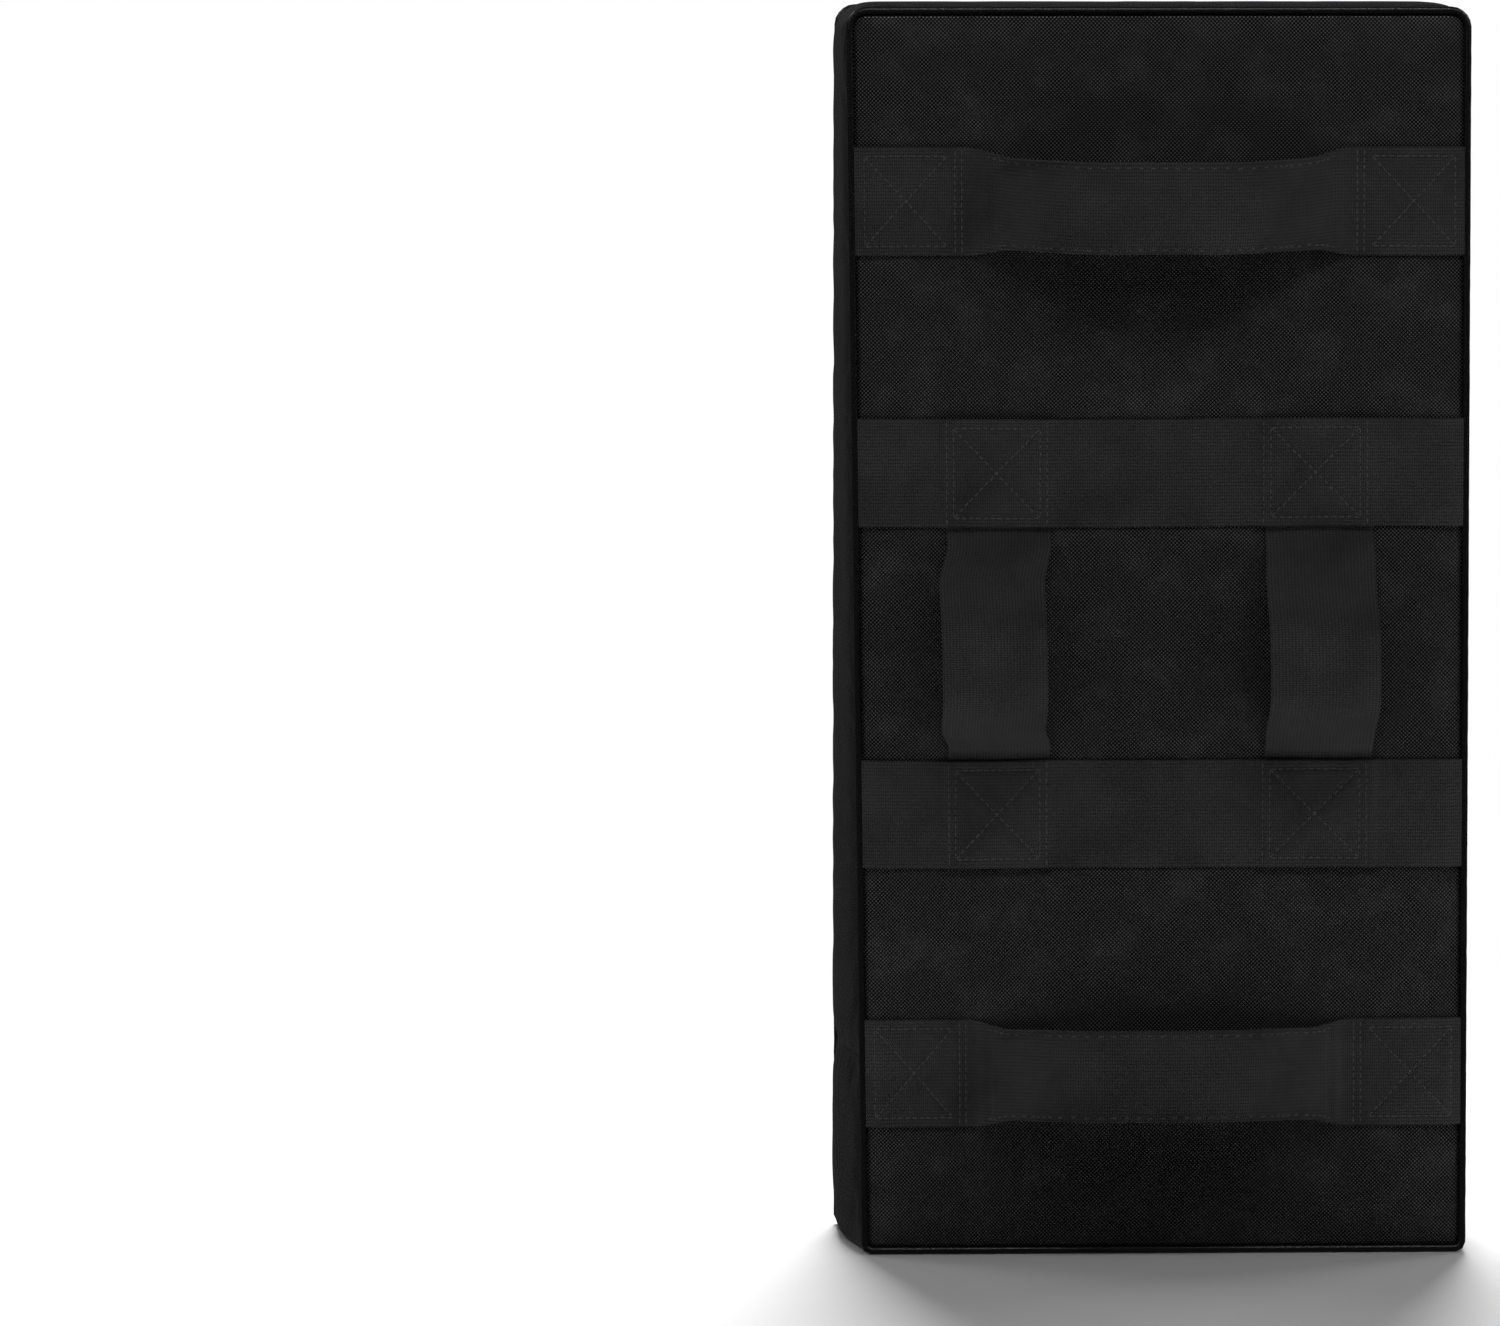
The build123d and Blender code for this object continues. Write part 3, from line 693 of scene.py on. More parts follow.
band_low, band_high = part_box("upper_grip_band")
loop_low, loop_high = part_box("left_loop_webbing")
BANDS = {side: middle_height(f"{side}_grip_band") for side in ("upper", "lower")}
HANDLES = {side: middle_height(f"{side}_handle_strap_ends") for side in ("upper", "lower")}
WEB_HALF = (band_high.z - band_low.z) / 2
WEB = 2 * MM  # thickness
LOOP_X = (loop_low.x + loop_high.x) / 2
BAND_END = band_high.x
HANDLE_FOOT = 90 * MM  # where a handle leaves the back, each side of the middle
print("bands at", BANDS, "handles at", HANDLES, "loops at", round(LOOP_X, 4))

# %% [markdown]
# ## The two big panels
# A panel is a rounded rectangle. Its grid is a plain rectangle whose four corner squares are
# squeezed into quarter discs, so rows and columns stay in order for the cloth. The border is
# tucked down beside the piping, and the vinyl climbs from there to the slab's face.

# %% Cut the panels
CELL = 4 * MM
SEAM = 1e-6  # a point this near the border is on it
TUCK_IN = 3.4 * MM  # the panel's border, inside the slab's edge
TUCK_DOWN = 2.4 * MM
CLIMB = 8 * MM
VINYL = 1.1 * MM
PANEL_GROWTH = 0.003
PANEL_RISE = 3.2 * MM


def rounded_corner(x, z, corner_x, corner_z, radius):
    """Squeezes the square beyond that corner's centre into a quarter disc."""
    centre_x = corner_x - math.copysign(radius, corner_x)
    centre_z = corner_z - radius if corner_z > TOP / 2 else corner_z + radius
    across = (x - centre_x) / (corner_x - centre_x)
    up = (z - centre_z) / (corner_z - centre_z)
    inside = (across > 0) & (up > 0)
    pressed_x = centre_x + (corner_x - centre_x) * across * np.sqrt(np.clip(1 - up**2 / 2, 0, 1))
    pressed_z = centre_z + (corner_z - centre_z) * up * np.sqrt(np.clip(1 - across**2 / 2, 0, 1))
    return np.where(inside, pressed_x, x), np.where(inside, pressed_z, z)


def panel_grid(face, facing, held_down):
    """A panel's grid at y = face, swollen towards facing. held_down says what webbing holds."""
    side = HALF - TUCK_IN
    low, high = TUCK_IN, TOP - TUCK_IN
    x, z = np.meshgrid(
        np.linspace(-side, side, round(2 * side / CELL) + 1),
        np.linspace(low, high, round((high - low) / CELL) + 1),
    )
    border = np.minimum(side - np.abs(x), np.minimum(z - low, high - z))
    held = (border < SEAM) | held_down(x, z)
    for corner_x in (-side, side):
        x, z = rounded_corner(x, z, corner_x, high, TOP_CORNER - TUCK_IN)
        x, z = rounded_corner(x, z, corner_x, low, BASE_CORNER - TUCK_IN)
    depth = face - facing * (TUCK_DOWN * (1 - ease(border / CLIMB)) + 0.3 * MM)
    rest = np.stack([x, depth, z], axis=-1)
    outward = np.zeros_like(rest)
    outward[..., 1] = facing
    return rest, outward, held


def sewn_sheet(name, grid, outward, flat, material, cut=None):
    """A swollen grid as a sheet of vinyl, facing outward. cut says which quads are left out."""
    points = grid.reshape(-1, 3)
    faces = facing_out(points, outward.reshape(-1, 3), *grid.shape[:2])
    if cut is not None:
        faces = faces[~cut.ravel()[faces].all(axis=1)]
    made = piece(name, points, faces, material, flat)
    baked(
        made,
        ("SUBSURF", {"levels": 1, "render_levels": 1}),
        ("SOLIDIFY", {"thickness": VINYL, "offset": -1.0}),
    )
    place_at(made, tug(places(made.data)))
    return made


def nowhere(x, z):
    return np.zeros(x.shape, bool)


def under_webbing(x, z):
    """True where a grip band or the end of a handle is sewn to the back."""
    found = nowhere(x, z)
    inside = WEB_HALF - 1.5 * MM
    for height in BANDS.values():
        found |= np.abs(z - height) < inside
    for height in HANDLES.values():
        found |= (np.abs(z - height) < inside) & (np.abs(x) > HANDLE_FOOT + 3 * MM)
    return found


for name, face, facing, hold, vinyl, slot in (
    ("front_panel", FRONT, -1, nowhere, red_vinyl, "red_vinyl"),
    ("back_panel", BACK, 1, under_webbing, black_vinyl, "black_vinyl"),
):
    rest, outward, held = panel_grid(face, facing, hold)
    grid = swell(name, rest, outward, held, growth=PANEL_GROWTH, most=PANEL_RISE)
    made = sewn_sheet(name + "_vinyl", grid, outward, rest[..., [0, 2]], vinyl)
    dress(made, slot, name)


# %% [markdown]
# ## The strips round the edge
# One long strip of smooth vinyl runs up one side, over the top and down the other. A second goes
# from cross seam to cross seam under the base, and holds the zip. Both are grids along the slab's
# outline. They are cut a little long, which is why their vinyl gathers in short pinches. Under
# the base the weight keeps the vinyl flat, and a groove is folded into it for the zip.

# %% Lines with rounded corners
def rounded_line(corners, radii, step):
    """Evenly spaced points along straight runs joined by arcs, and how far along each one is."""
    corners = [Vector(corner) for corner in corners]
    found = [corners[0]]
    for before, here, after, radius in zip(corners, corners[1:], corners[2:], radii):
        back, ahead = (before - here).normalized(), (after - here).normalized()
        half = back.angle(ahead) / 2
        turn = math.pi - 2 * half
        centre = here + (back + ahead).normalized() * radius / math.sin(half)
        start = here + back * radius / math.tan(half) - centre
        end = here + ahead * radius / math.tan(half) - centre
        count = max(3, math.ceil(3 * radius * turn / step))
        for k in range(count + 1):
            angle = turn * k / count
            found.append(centre + (start * math.sin(turn - angle) + end * math.sin(angle)) / math.sin(turn))
    found.append(corners[-1])
    rough = np.array(found)
    lengths = np.r_[0, np.cumsum(np.linalg.norm(np.diff(rough, axis=0), axis=1))]
    along = np.linspace(0, lengths[-1], round(lengths[-1] / step) + 1)
    even = np.stack([np.interp(along, lengths, rough[:, k]) for k in range(rough.shape[1])], axis=1)
    return even, along


def leftward(line):
    """Unit vectors square to a flat line, on its left side as one walks along it."""
    ahead = np.gradient(line, axis=0)
    ahead /= np.linalg.norm(ahead, axis=1, keepdims=True)
    return np.stack([-ahead[:, 1], ahead[:, 0]], axis=1)


# %% Sew the strips
SEAM_IN = 1.9 * MM  # the strips' long edges, inside the slab's edge, behind the piping's bead
SEAM_DEEP = 3.4 * MM  # and from the slab's face
STRIP_CLIMB = 7 * MM
SEAM_DIP = 1.0 * MM
STRIP_GROWTH = 0.011  # how much too long the strips are cut
STRIP_RISE = 2.0 * MM


def marked(low, high, marks, step):
    """Values from low to high, about step apart, with every mark among them."""
    stops = sorted({low, high, *marks})
    runs = [np.linspace(a, b, max(1, round((b - a) / step)) + 1)[:-1] for a, b in zip(stops, stops[1:])]
    return np.r_[np.concatenate(runs), high]


def strip_grid(outline, out, along, across):
    """The grid of a strip along an outline (x and z), from seam to seam."""
    x = outline[:, :1] + 0 * across
    z = outline[:, 1:] + 0 * across
    y = across + 0 * outline[:, :1]
    border = np.minimum(across - across[0], across[-1] - across)
    end = np.minimum(along - along[0], along[-1] - along)
    proud = (SEAM_IN - 0.3 * MM) * ease(border / STRIP_CLIMB)[None, :]
    proud = proud - SEAM_DIP * (1 - ease(end / (2 * STRIP_CLIMB)))[:, None]
    outward = np.stack([out[:, :1] + 0 * across, 0 * y, out[:, 1:] + 0 * across], axis=-1)
    rest = np.stack([x, y, z], axis=-1) + outward * proud[..., None]
    held = (border[None, :] < SEAM) | (end[:, None] < SEAM)
    flat = np.stack([along[:, None] + 0 * y, y], axis=-1)
    return rest, outward, held, flat


side_x = HALF - SEAM_IN
across = np.linspace(FRONT + SEAM_DEEP, BACK - SEAM_DEEP, round((BACK - FRONT) / CELL) + 1)
outline, along = rounded_line(
    [(side_x, CROSS_SEAM), (side_x, TOP - SEAM_IN), (-side_x, TOP - SEAM_IN), (-side_x, CROSS_SEAM)],
    [TOP_CORNER - SEAM_IN] * 2,
    CELL,
)
rest, outward, held, flat = strip_grid(outline, -leftward(outline), along, across)
grid = swell("side_strip", rest, outward, held, growth=STRIP_GROWTH, most=STRIP_RISE)
side_strip = sewn_sheet("side_strip", grid, outward, flat, strip_vinyl)
dress(side_strip, "gusset_vinyl", "gusset_upper")
print(f"side strip {along[-1]:.3f} m long")

# %% Fold the base strip
slot_low, slot_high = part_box("zip_tape_front")[0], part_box("zip_tape_back")[1]
ZIP_LINE = (slot_low.y + slot_high.y) / 2
CHAIN_TOP = slot_low.z  # lower side of the zip's tape
GROOVE = CHAIN_TOP - 1.2 * MM
GROOVE_LENGTH = 137 * MM  # half lengths and half widths, at the mouth
GROOVE_WIDTH = 15 * MM
GROOVE_DRAFT = 3 * MM
SLOT_LENGTH = 126 * MM
SLOT_WIDTH = 5.5 * MM
TOUCH = 0.1 * MM


def fold_marks(centre, slot, groove):
    """Where the slot's edge, the groove's floor and its mouth lie, on both sides of the centre."""
    return [centre + side * reach for side in (-1, 1) for reach in (slot, groove - GROOVE_DRAFT, groove)]


width_marks = fold_marks(ZIP_LINE, SLOT_WIDTH, GROOVE_WIDTH)
length_marks = fold_marks(0, SLOT_LENGTH, GROOVE_LENGTH)
across = marked(FRONT + SEAM_DEEP, BACK - SEAM_DEEP, width_marks, CELL)
bend = BASE_CORNER - SEAM_IN
side_run = np.linspace(CROSS_SEAM, SEAM_IN + bend, round(CROSS_SEAM / CELL))
quarter = np.linspace(0, math.pi / 2, 5)[1:]
base_run = marked(-side_x + bend, side_x - bend, length_marks, CELL)[::-1]
left_half = [(side_x, z) for z in side_run]
left_half += [(side_x - bend + bend * math.cos(a), SEAM_IN + bend - bend * math.sin(a)) for a in quarter]
right_half = [(-x, z) for x, z in left_half[::-1]]
outline = np.array(left_half + [(x, SEAM_IN) for x in base_run[1:-1]] + right_half)
along = np.r_[0, np.cumsum(np.linalg.norm(np.diff(outline, axis=0), axis=1))]
rest, outward, held, flat = strip_grid(outline, leftward(outline), along, across)
underneath = rest[..., 2] < CROSS_SEAM / 8
grid = swell("base_strip", rest, outward, held | underneath, growth=STRIP_GROWTH, most=STRIP_RISE)
from_middle, from_line = np.abs(rest[..., 0]), np.abs(rest[..., 1] - ZIP_LINE)
slope = np.minimum(GROOVE_LENGTH - from_middle, GROOVE_WIDTH - from_line) / GROOVE_DRAFT
fold = np.clip(slope, 0, 1) * underneath
grid[..., 2] = np.maximum(grid[..., 2], TOUCH) * (1 - fold) + GROOVE * fold
hole = underneath & (from_middle < SLOT_LENGTH + TOUCH) & (from_line < SLOT_WIDTH + TOUCH)
base_strip = sewn_sheet("base_strip", grid, outward, flat, strip_vinyl, cut=hole)
dress(base_strip, "gusset_vinyl", "gusset_lower")
print(f"base strip {along[-1]:.3f} m long, zip line at y = {ZIP_LINE:.4f}")


# %% [markdown]
# ## Piping
# The seam between a panel and a strip is a piping: a thin cord wrapped in vinyl and caught in
# the seam. It is a round bead swept along the slab's outline. The vinyl gathers on the cord, so
# its radius wavers every few millimetres.

# %% Sweep the beads
BEAD = 1.9 * MM
BEAD_SIDES = 12


def tube(line, radius, sides, ring=False):
    """Points and faces of a tube along a line. radius is one value, or one for each point."""
    line = np.asarray(line, float)
    if ring:
        ahead = np.roll(line, -1, axis=0) - np.roll(line, 1, axis=0)
    else:
        ahead = np.gradient(line, axis=0)
    ahead /= np.linalg.norm(ahead, axis=1, keepdims=True)
    upright = np.zeros(3)
    upright[np.argmin(np.abs(ahead).mean(axis=0))] = 1
    side = np.cross(ahead, upright)
    side /= np.linalg.norm(side, axis=1, keepdims=True)
    other = np.cross(ahead, side)
    angle = np.linspace(0, 2 * math.pi, sides, endpoint=False)
    reach = np.broadcast_to(radius, len(line))[:, None, None]
    points = line[:, None] + reach * (
        side[:, None] * np.cos(angle)[:, None] + other[:, None] * np.sin(angle)[:, None]
    )
    faces = grid_faces(len(line), sides, ring=True).tolist()
    last = (len(line) - 1) * sides
    if ring:
        faces += [[last + k, last + (k + 1) % sides, (k + 1) % sides, k] for k in range(sides)]
    else:
        faces += [list(range(sides)), [last + k for k in range(sides)][::-1]]
    return points.reshape(-1, 3), faces


inner_x, inner_top = HALF - BEAD, TOP - BEAD
right_side = [(inner_x, BEAD), (inner_x, inner_top)]
left_side = [(-inner_x, inner_top), (-inner_x, BEAD)]
outline, along = rounded_line(
    [(0, BEAD), *right_side, *left_side, (0, BEAD)],
    [BASE_CORNER - BEAD, TOP_CORNER - BEAD, TOP_CORNER - BEAD, BASE_CORNER - BEAD],
    2.5 * MM,
)
outline, along = outline[:-1], along[:-1]
for name, face, facing in (("front_piping", FRONT, -1), ("back_piping", BACK, 1)):
    y = np.full(len(outline), face - facing * BEAD)
    gathers = 0.96 + 0.06 * ripple(outline[:, 0], y, outline[:, 1], 5 * MM)
    line = np.stack([outline[:, 0], y, outline[:, 1]], axis=1)
    points, faces = tube(line, BEAD * gathers, BEAD_SIDES, ring=True)
    round_it = np.tile(np.arange(BEAD_SIDES) * (2 * math.pi * BEAD / BEAD_SIDES), len(outline))
    flat = np.stack([np.repeat(along, BEAD_SIDES), round_it], axis=1)
    bead = piece(name + "_bead", tug(points), faces, piping_vinyl, flat, closed=True)
    dress(bead, "piping", name)


# %% [markdown]
# ## Foam inside
# Nobody sees the three foam layers, but they are what the shield is made of. Each starts as its
# solid in the frame, remeshed into small cells, which rounds its edges as a hot wire leaves them,
# and drawn in a little so that it lies inside the cover.

# %% Cut the foam
FOAM_CELL = 6 * MM
FOAM_INSIDE = 2.6 * MM


def copy_of(node, name, material):
    """A copy of one of the frame's solids, in another material."""
    made = new_object(name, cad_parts[node].data.copy())
    made.data.materials.clear()
    made.data.materials.append(material)
    return made


for node, slot, material in (
    ("strike_foam", "dense_foam", dense_foam),
    ("core_foam", "soft_foam", soft_foam),
    ("backing_foam", "firm_foam", firm_foam),
):
    made = copy_of(node, node + "_layer", material)
    baked(made, ("REMESH", {"mode": "VOXEL", "voxel_size": FOAM_CELL}), ("SMOOTH", {"iterations": 2}))
    points = places(made.data)
    normals = np.empty(len(points) * 3)
    made.data.vertices.foreach_get("normal", normals)
    place_at(made, tug(points - normals.reshape(-1, 3) * FOAM_INSIDE))
    dress(made, slot, node)


# %% [markdown]
# ## Webbing as a loft
# A strap is one flattened loop of points, repeated along a line. Each station of the line has
# its own half width, half thickness and squareness, so the same loft makes a flat band, a loop,
# and a handle that swells from a strap into a pad. A relief function adds what thread does to it:
# the rows of stitches pull narrow grooves into the webbing, and between them it waves a little.

# %% The strap loft
EDGE_SHARES = np.array([0.0, 0.003, 0.010, 0.025, 0.045])  # of the half width, closer at the edge
FLAT = 7.0  # squareness of plain webbing


class Strap:
    """A flattened loft along a line. u runs along it and v across it, both in metres."""

    def __init__(self, line, across, outward, half_width, half_thick, squareness, relief=None):
        self.line, self.across, self.outward = line, across, outward
        self.u = np.r_[0, np.cumsum(np.linalg.norm(np.diff(line, axis=0), axis=1))]
        self.half_width = np.broadcast_to(half_width, self.u.shape)
        self.half_thick = np.broadcast_to(half_thick, self.u.shape)
        self.squareness = np.broadcast_to(squareness, self.u.shape)
        self.relief = relief

    def at(self, table, u):
        """A station value, or a vector, read between the stations."""
        if table.ndim == 1:
            return np.interp(u, self.u, table)
        return np.stack([np.interp(u, self.u, table[:, k]) for k in range(3)], axis=-1)

    def u_of(self, place):
        """How far along the strap the place x lies, on a strap that runs from left to right."""
        return float(np.interp(-place, -self.line[:, 0], self.u))

    def skin(self, u, v, side=1):
        """Points of the outer skin, or of the inner one with side -1."""
        share = np.clip(np.abs(v) / self.at(self.half_width, u), 0, 1)
        power = self.at(self.squareness, u)
        lift = side * self.at(self.half_thick, u) * (1 - share**power) ** (1 / power)
        if self.relief is not None:
            lift = lift + self.relief(u, v, side) * (1 - share**12)
        sideways = self.at(self.across, u) * v[..., None]
        return self.at(self.line, u) + sideways + self.at(self.outward, u) * lift[..., None]

    def build(self, name, material, columns):
        """The closed mesh of the whole strap."""
        inner = np.linspace(-1 + EDGE_SHARES[-1], 1 - EDGE_SHARES[-1], columns)[1:-1]
        shares = np.r_[EDGE_SHARES - 1, inner, 1 - EDGE_SHARES[::-1]]
        u = np.repeat(self.u[:, None], len(shares), axis=1)
        v = self.half_width[:, None] * shares
        over, under = self.skin(u, v), self.skin(u, v, side=-1)
        ring = np.concatenate([over, under[:, -2:0:-1]], axis=1)
        flat_u = np.concatenate([u, u[:, -2:0:-1]], axis=1)
        flat_v = np.concatenate([v, v[:, -2:0:-1]], axis=1)
        rows, count, _ = ring.shape
        faces = grid_faces(rows, count, ring=True).tolist()
        last = (rows - 1) * count
        faces += [list(range(count)), [last + k for k in range(count)][::-1]]
        flat = np.stack([flat_u, flat_v], axis=-1)
        return piece(name, tug(ring.reshape(-1, 3)), faces, material, flat, closed=True)


# %% [markdown]
# ## Stitches
# A lock stitch shows as a short thread lying in a dimple, with a hole at each end where the
# needle went down. Every stitch here is a small capsule of its own, laid on the strap's skin, a
# little crooked, as a walking-foot machine leaves it. The crooked angles come from a seeded
# generator, so they are the same each time.

# %% Lay threads along a row
PITCH = 3.4 * MM
STITCH = 2.7 * MM
THREAD = 0.42 * MM
DOUBLE = 3.4 * MM  # between the two lines of a double row
ROW_MARGIN = 1.0 * MM  # webbing left beyond the ends of a line that crosses it
PULL_IN = 0.65 * MM
PULL_WIDTH = 1.0 * MM
OFF_PLACE = 0.08 * MM  # how far a stitch is off its place, and off its direction in radians
OFF_WAY = 0.07
needle = np.random.default_rng(7)


def capsule(length, radius, sides=7):
    """Points and faces of a rounded thread along x."""
    profile = [(-0.5, 0.0), (-0.44, 0.62), (-0.30, 1.0), (0.30, 1.0), (0.44, 0.62), (0.5, 0.0)]
    line = np.array([(share * length, 0, -abs(share) * radius) for share, _ in profile])
    sizes = np.array([max(size, 0.05) * radius for _, size in profile])
    return tube(line, sizes, sides)


def sew(name, strap, rows):
    """All the threads of those rows, each row from one (u, v) to another, as one piece."""
    body, body_faces = capsule(STITCH, THREAD)
    points, faces, flat = [], [], []
    for start, end in rows:
        start, end = np.array(start, float), np.array(end, float)
        length = np.linalg.norm(end - start)
        count = max(1, int(length / PITCH))
        ahead = (end - start) / length
        for k in range(count):
            centre = start + (end - start) * (k + 0.5) / count + needle.normal(0, OFF_PLACE, 2)
            turn = needle.normal(0, OFF_WAY)
            way = ahead @ np.array([[math.cos(turn), math.sin(turn)], [-math.sin(turn), math.cos(turn)]])
            probe = np.array([centre, centre + way * MM, centre + np.array([-way[1], way[0]]) * MM])
            here, on, beside = strap.skin(probe[:, 0], probe[:, 1])
            x_way = (on - here) / np.linalg.norm(on - here)
            z_way = np.cross(x_way, beside - here)
            z_way /= np.linalg.norm(z_way)
            if z_way @ strap.at(strap.outward, probe[:1, 0])[0] < 0:
                z_way = -z_way
            axes = np.stack([x_way, np.cross(z_way, x_way), z_way])
            faces += [[index + len(body) * len(points) for index in face] for face in body_faces]
            points.append(here + z_way * THREAD * 0.25 + body @ axes)
            flat.append(body[:, :2] * [1, 3] + centre)
    print(name, "has", len(points), "stitches")
    return piece(name, tug(np.concatenate(points)), faces, thread, np.concatenate(flat))


def crossed_box(u, width, height):
    """Rows of a box centred on the strap at u: two sides along it, then the cross."""
    a, b = width / 2, height / 2
    rows = [((u - a, side * b), (u + a, side * b)) for side in (-1, 1)]
    return rows + [((u - a, -side * b), (u + a, side * b)) for side in (1, -1)]


def line_across(u, reach):
    return ((u, -reach), (u, reach))


def row_distance(u, v, rows):
    """How far each point of a strap is from the nearest row of stitches."""
    nearest = np.full(np.shape(u), 1.0)
    for (u0, v0), (u1, v1) in rows:
        length = (u1 - u0) ** 2 + (v1 - v0) ** 2
        share = np.clip(((u - u0) * (u1 - u0) + (v - v0) * (v1 - v0)) / length, 0, 1)
        nearest = np.minimum(nearest, np.hypot(u - u0 - share * (u1 - u0), v - v0 - share * (v1 - v0)))
    return nearest


def hill(distance, width):
    """1 at no distance, falling away smoothly over that width."""
    return np.exp(-((distance / width) ** 2))


def pulled(rows, seed, wave=0.22 * MM):
    """A relief function: grooves along the rows, and a slow wave in between."""
    def relief(u, v, side):
        groove = -PULL_IN * hill(row_distance(u, v, rows), PULL_WIDTH) * (side > 0)
        return groove + wave * ripple(u, v, seed, 23 * MM)
    return relief


# %% [markdown]
# ## Grip bands
# Two bands of webbing run across the whole back, from seam to seam. Each climbs over the two
# ends of the forearm loops, which are caught under it, and a crossed box of stitches goes
# through all the layers there. Beside each box the lines are doubled.

# %% Sew the bands
LOOP_BOX = 43 * MM
RISE_RUN = 3.5 * MM
BAND_STEP = 1.3 * MM
STRAP_END = BAND_END + MM  # the webbing goes on into the side seam
UP = np.array([0.0, 0.0, 1.0])
OUT = np.array([0.0, 1.0, 0.0])


def side_dip(x):
    """How far webbing sinks towards the side seams."""
    return 2.2 * MM * ease((np.abs(x) - BAND_END + 7 * MM) / (8 * MM))


def band_line(height):
    """The middle line of a band from left to right, and how it lies on the back."""
    x = np.linspace(STRAP_END, -STRAP_END, round(2 * BAND_END / BAND_STEP) + 1)
    from_loop = np.abs(np.abs(x) - LOOP_X)
    climb = WEB * ease((WEB_HALF + RISE_RUN - from_loop) / RISE_RUN)
    y = BACK + WEB / 2 + climb - side_dip(x)
    sway = 0.5 * MM * ripple(x, height, 0.0, 60 * MM)
    return np.stack([x, y, np.full(len(x), height) + sway], axis=1)


for seed, (side, height) in enumerate(BANDS.items()):
    line = band_line(height)
    rows = []
    for u in (STRAP_END - LOOP_X, STRAP_END + LOOP_X):
        rows += crossed_box(u, LOOP_BOX, LOOP_BOX)
        rows += [line_across(u + end * LOOP_BOX / 2, LOOP_BOX / 2) for end in (-1, 1)]
        beyond = LOOP_BOX / 2 + DOUBLE
        rows += [line_across(u + end * beyond, WEB_HALF - ROW_MARGIN) for end in (-1, 1)]
    waver = 1 + 0.006 * ripple(line[:, 0], height, 3.0, 18 * MM)
    strap = Strap(
        line,
        np.broadcast_to(UP, line.shape),
        np.broadcast_to(OUT, line.shape),
        WEB_HALF * waver,
        WEB / 2,
        FLAT,
        pulled(rows, seed + 0.3),
    )
    dress(strap.build(f"{side}_band_webbing", webbing, 44), "webbing", f"{side}_grip_band")
    dress(sew(f"{side}_band_thread", strap, rows), "thread", f"{side}_band_stitching")


# %% [markdown]
# ## Padded handles
# A handle is one strap. Its two ends lie flat on the back and are sewn down with crossed boxes and
# double lines. Between them the webbing is folded round a foam pad, so it gets narrower and
# thicker, arches off the back, and is closed by a row of stitches along each edge. A lining
# lies on the palm side. The loft does all of that with one set of station values.

# %% The handle's own values
HANDLE_CREST = 42 * MM  # half of the arch's top run
HANDLE_STAND_OFF = 42 * MM
HANDLE_BENDS = (8 * MM, 55 * MM, 55 * MM, 8 * MM)
HANDLE_DROOP = {"upper": math.radians(4.0), "lower": math.radians(-3.0)}
PAD_HALF = 22 * MM
PAD_THICK = 15 * MM
PAD_ROUND = 2.7  # squareness of the padded part
PAD_START = 89 * MM  # where the pad begins, each side of the middle
PAD_FULL = 50 * MM
NARROWED = 70 * MM
EDGE_ROW = 2.6 * MM
END_BOX = 40 * MM
END_BOX_X = 122.3 * MM
FOOT_LINE = 95 * MM
BLEND_FROM = 2 * MM  # a height off the back, the first of the two places given as a handle's bend
BLEND_TO = 25 * MM
SLACK = ((15 * MM, 0.15), (17 * MM, 0.10))  # a slack fold at one end: its height, and how it climbs
SLACK_DEEP = 3.2 * MM
SLACK_RUN = (-92 * MM, -30 * MM)  # from the middle of the handle
RIDGE = 0.7 * MM  # a soft crease along the pad
RIDGE_AT = 8 * MM  # and how far above the pad's middle line it lies
RIDGE_REACH = 86 * MM
END_FOLD = 1.3 * MM  # a fold across the strap where the pad ends
END_FOLD_AT = 90 * MM
INSERT_SHORT = 22 * MM  # the foam and the lining are so much shorter than the folded webbing
INSERT_NARROW = 6.5 * MM
INSERT_THIN = 2.4 * MM
LINING_NARROW = 5.5 * MM
LINING_HALF = 0.5 * MM


def handle_strap(height, droop):
    """The loft of one handle, without its relief."""
    level = WEB / 2
    raised = level + HANDLE_STAND_OFF
    left = [(STRAP_END, level), (HANDLE_FOOT, level), (HANDLE_CREST, raised)]
    right = [(-x, off) for x, off in left[::-1]]
    flat_line, _ = rounded_line(left + right, HANDLE_BENDS, 1.4 * MM)
    x, off = flat_line[:, 0], flat_line[:, 1]
    normal = -leftward(flat_line)
    normal *= np.sign(normal[:, 1:])
    thick = WEB + (PAD_THICK - WEB) * ease((PAD_START - np.abs(x)) / (PAD_START - PAD_FULL))
    inward = (thick - WEB) / 2
    x, off = x - normal[:, 0] * inward, off - normal[:, 1] * inward
    hang = droop * ease((HANDLE_FOOT - np.abs(x)) / (24 * MM))
    along_back = np.stack([0 * hang, np.cos(hang), -np.sin(hang)], axis=1)
    across = np.stack([0 * hang, np.sin(hang), np.cos(hang)], axis=1)
    line = np.stack([x, BACK - side_dip(x) + off * np.cos(hang), height - off * np.sin(hang)], axis=1)
    line[:, 2] += 0.4 * MM * ripple(x, height, 1.0, 50 * MM)
    outward = along_back * normal[:, 1:] + np.array([1.0, 0, 0]) * normal[:, :1]
    narrow = ease((PAD_START + 5 * MM - np.abs(x)) / (PAD_START + 5 * MM - NARROWED))
    waver = 0.35 * MM * ripple(x, height, 2.0, 16 * MM)
    half_width = WEB_HALF + (PAD_HALF - WEB_HALF) * narrow + waver * narrow
    return Strap(line, across, outward, half_width, thick / 2, FLAT + (PAD_ROUND - FLAT) * narrow)


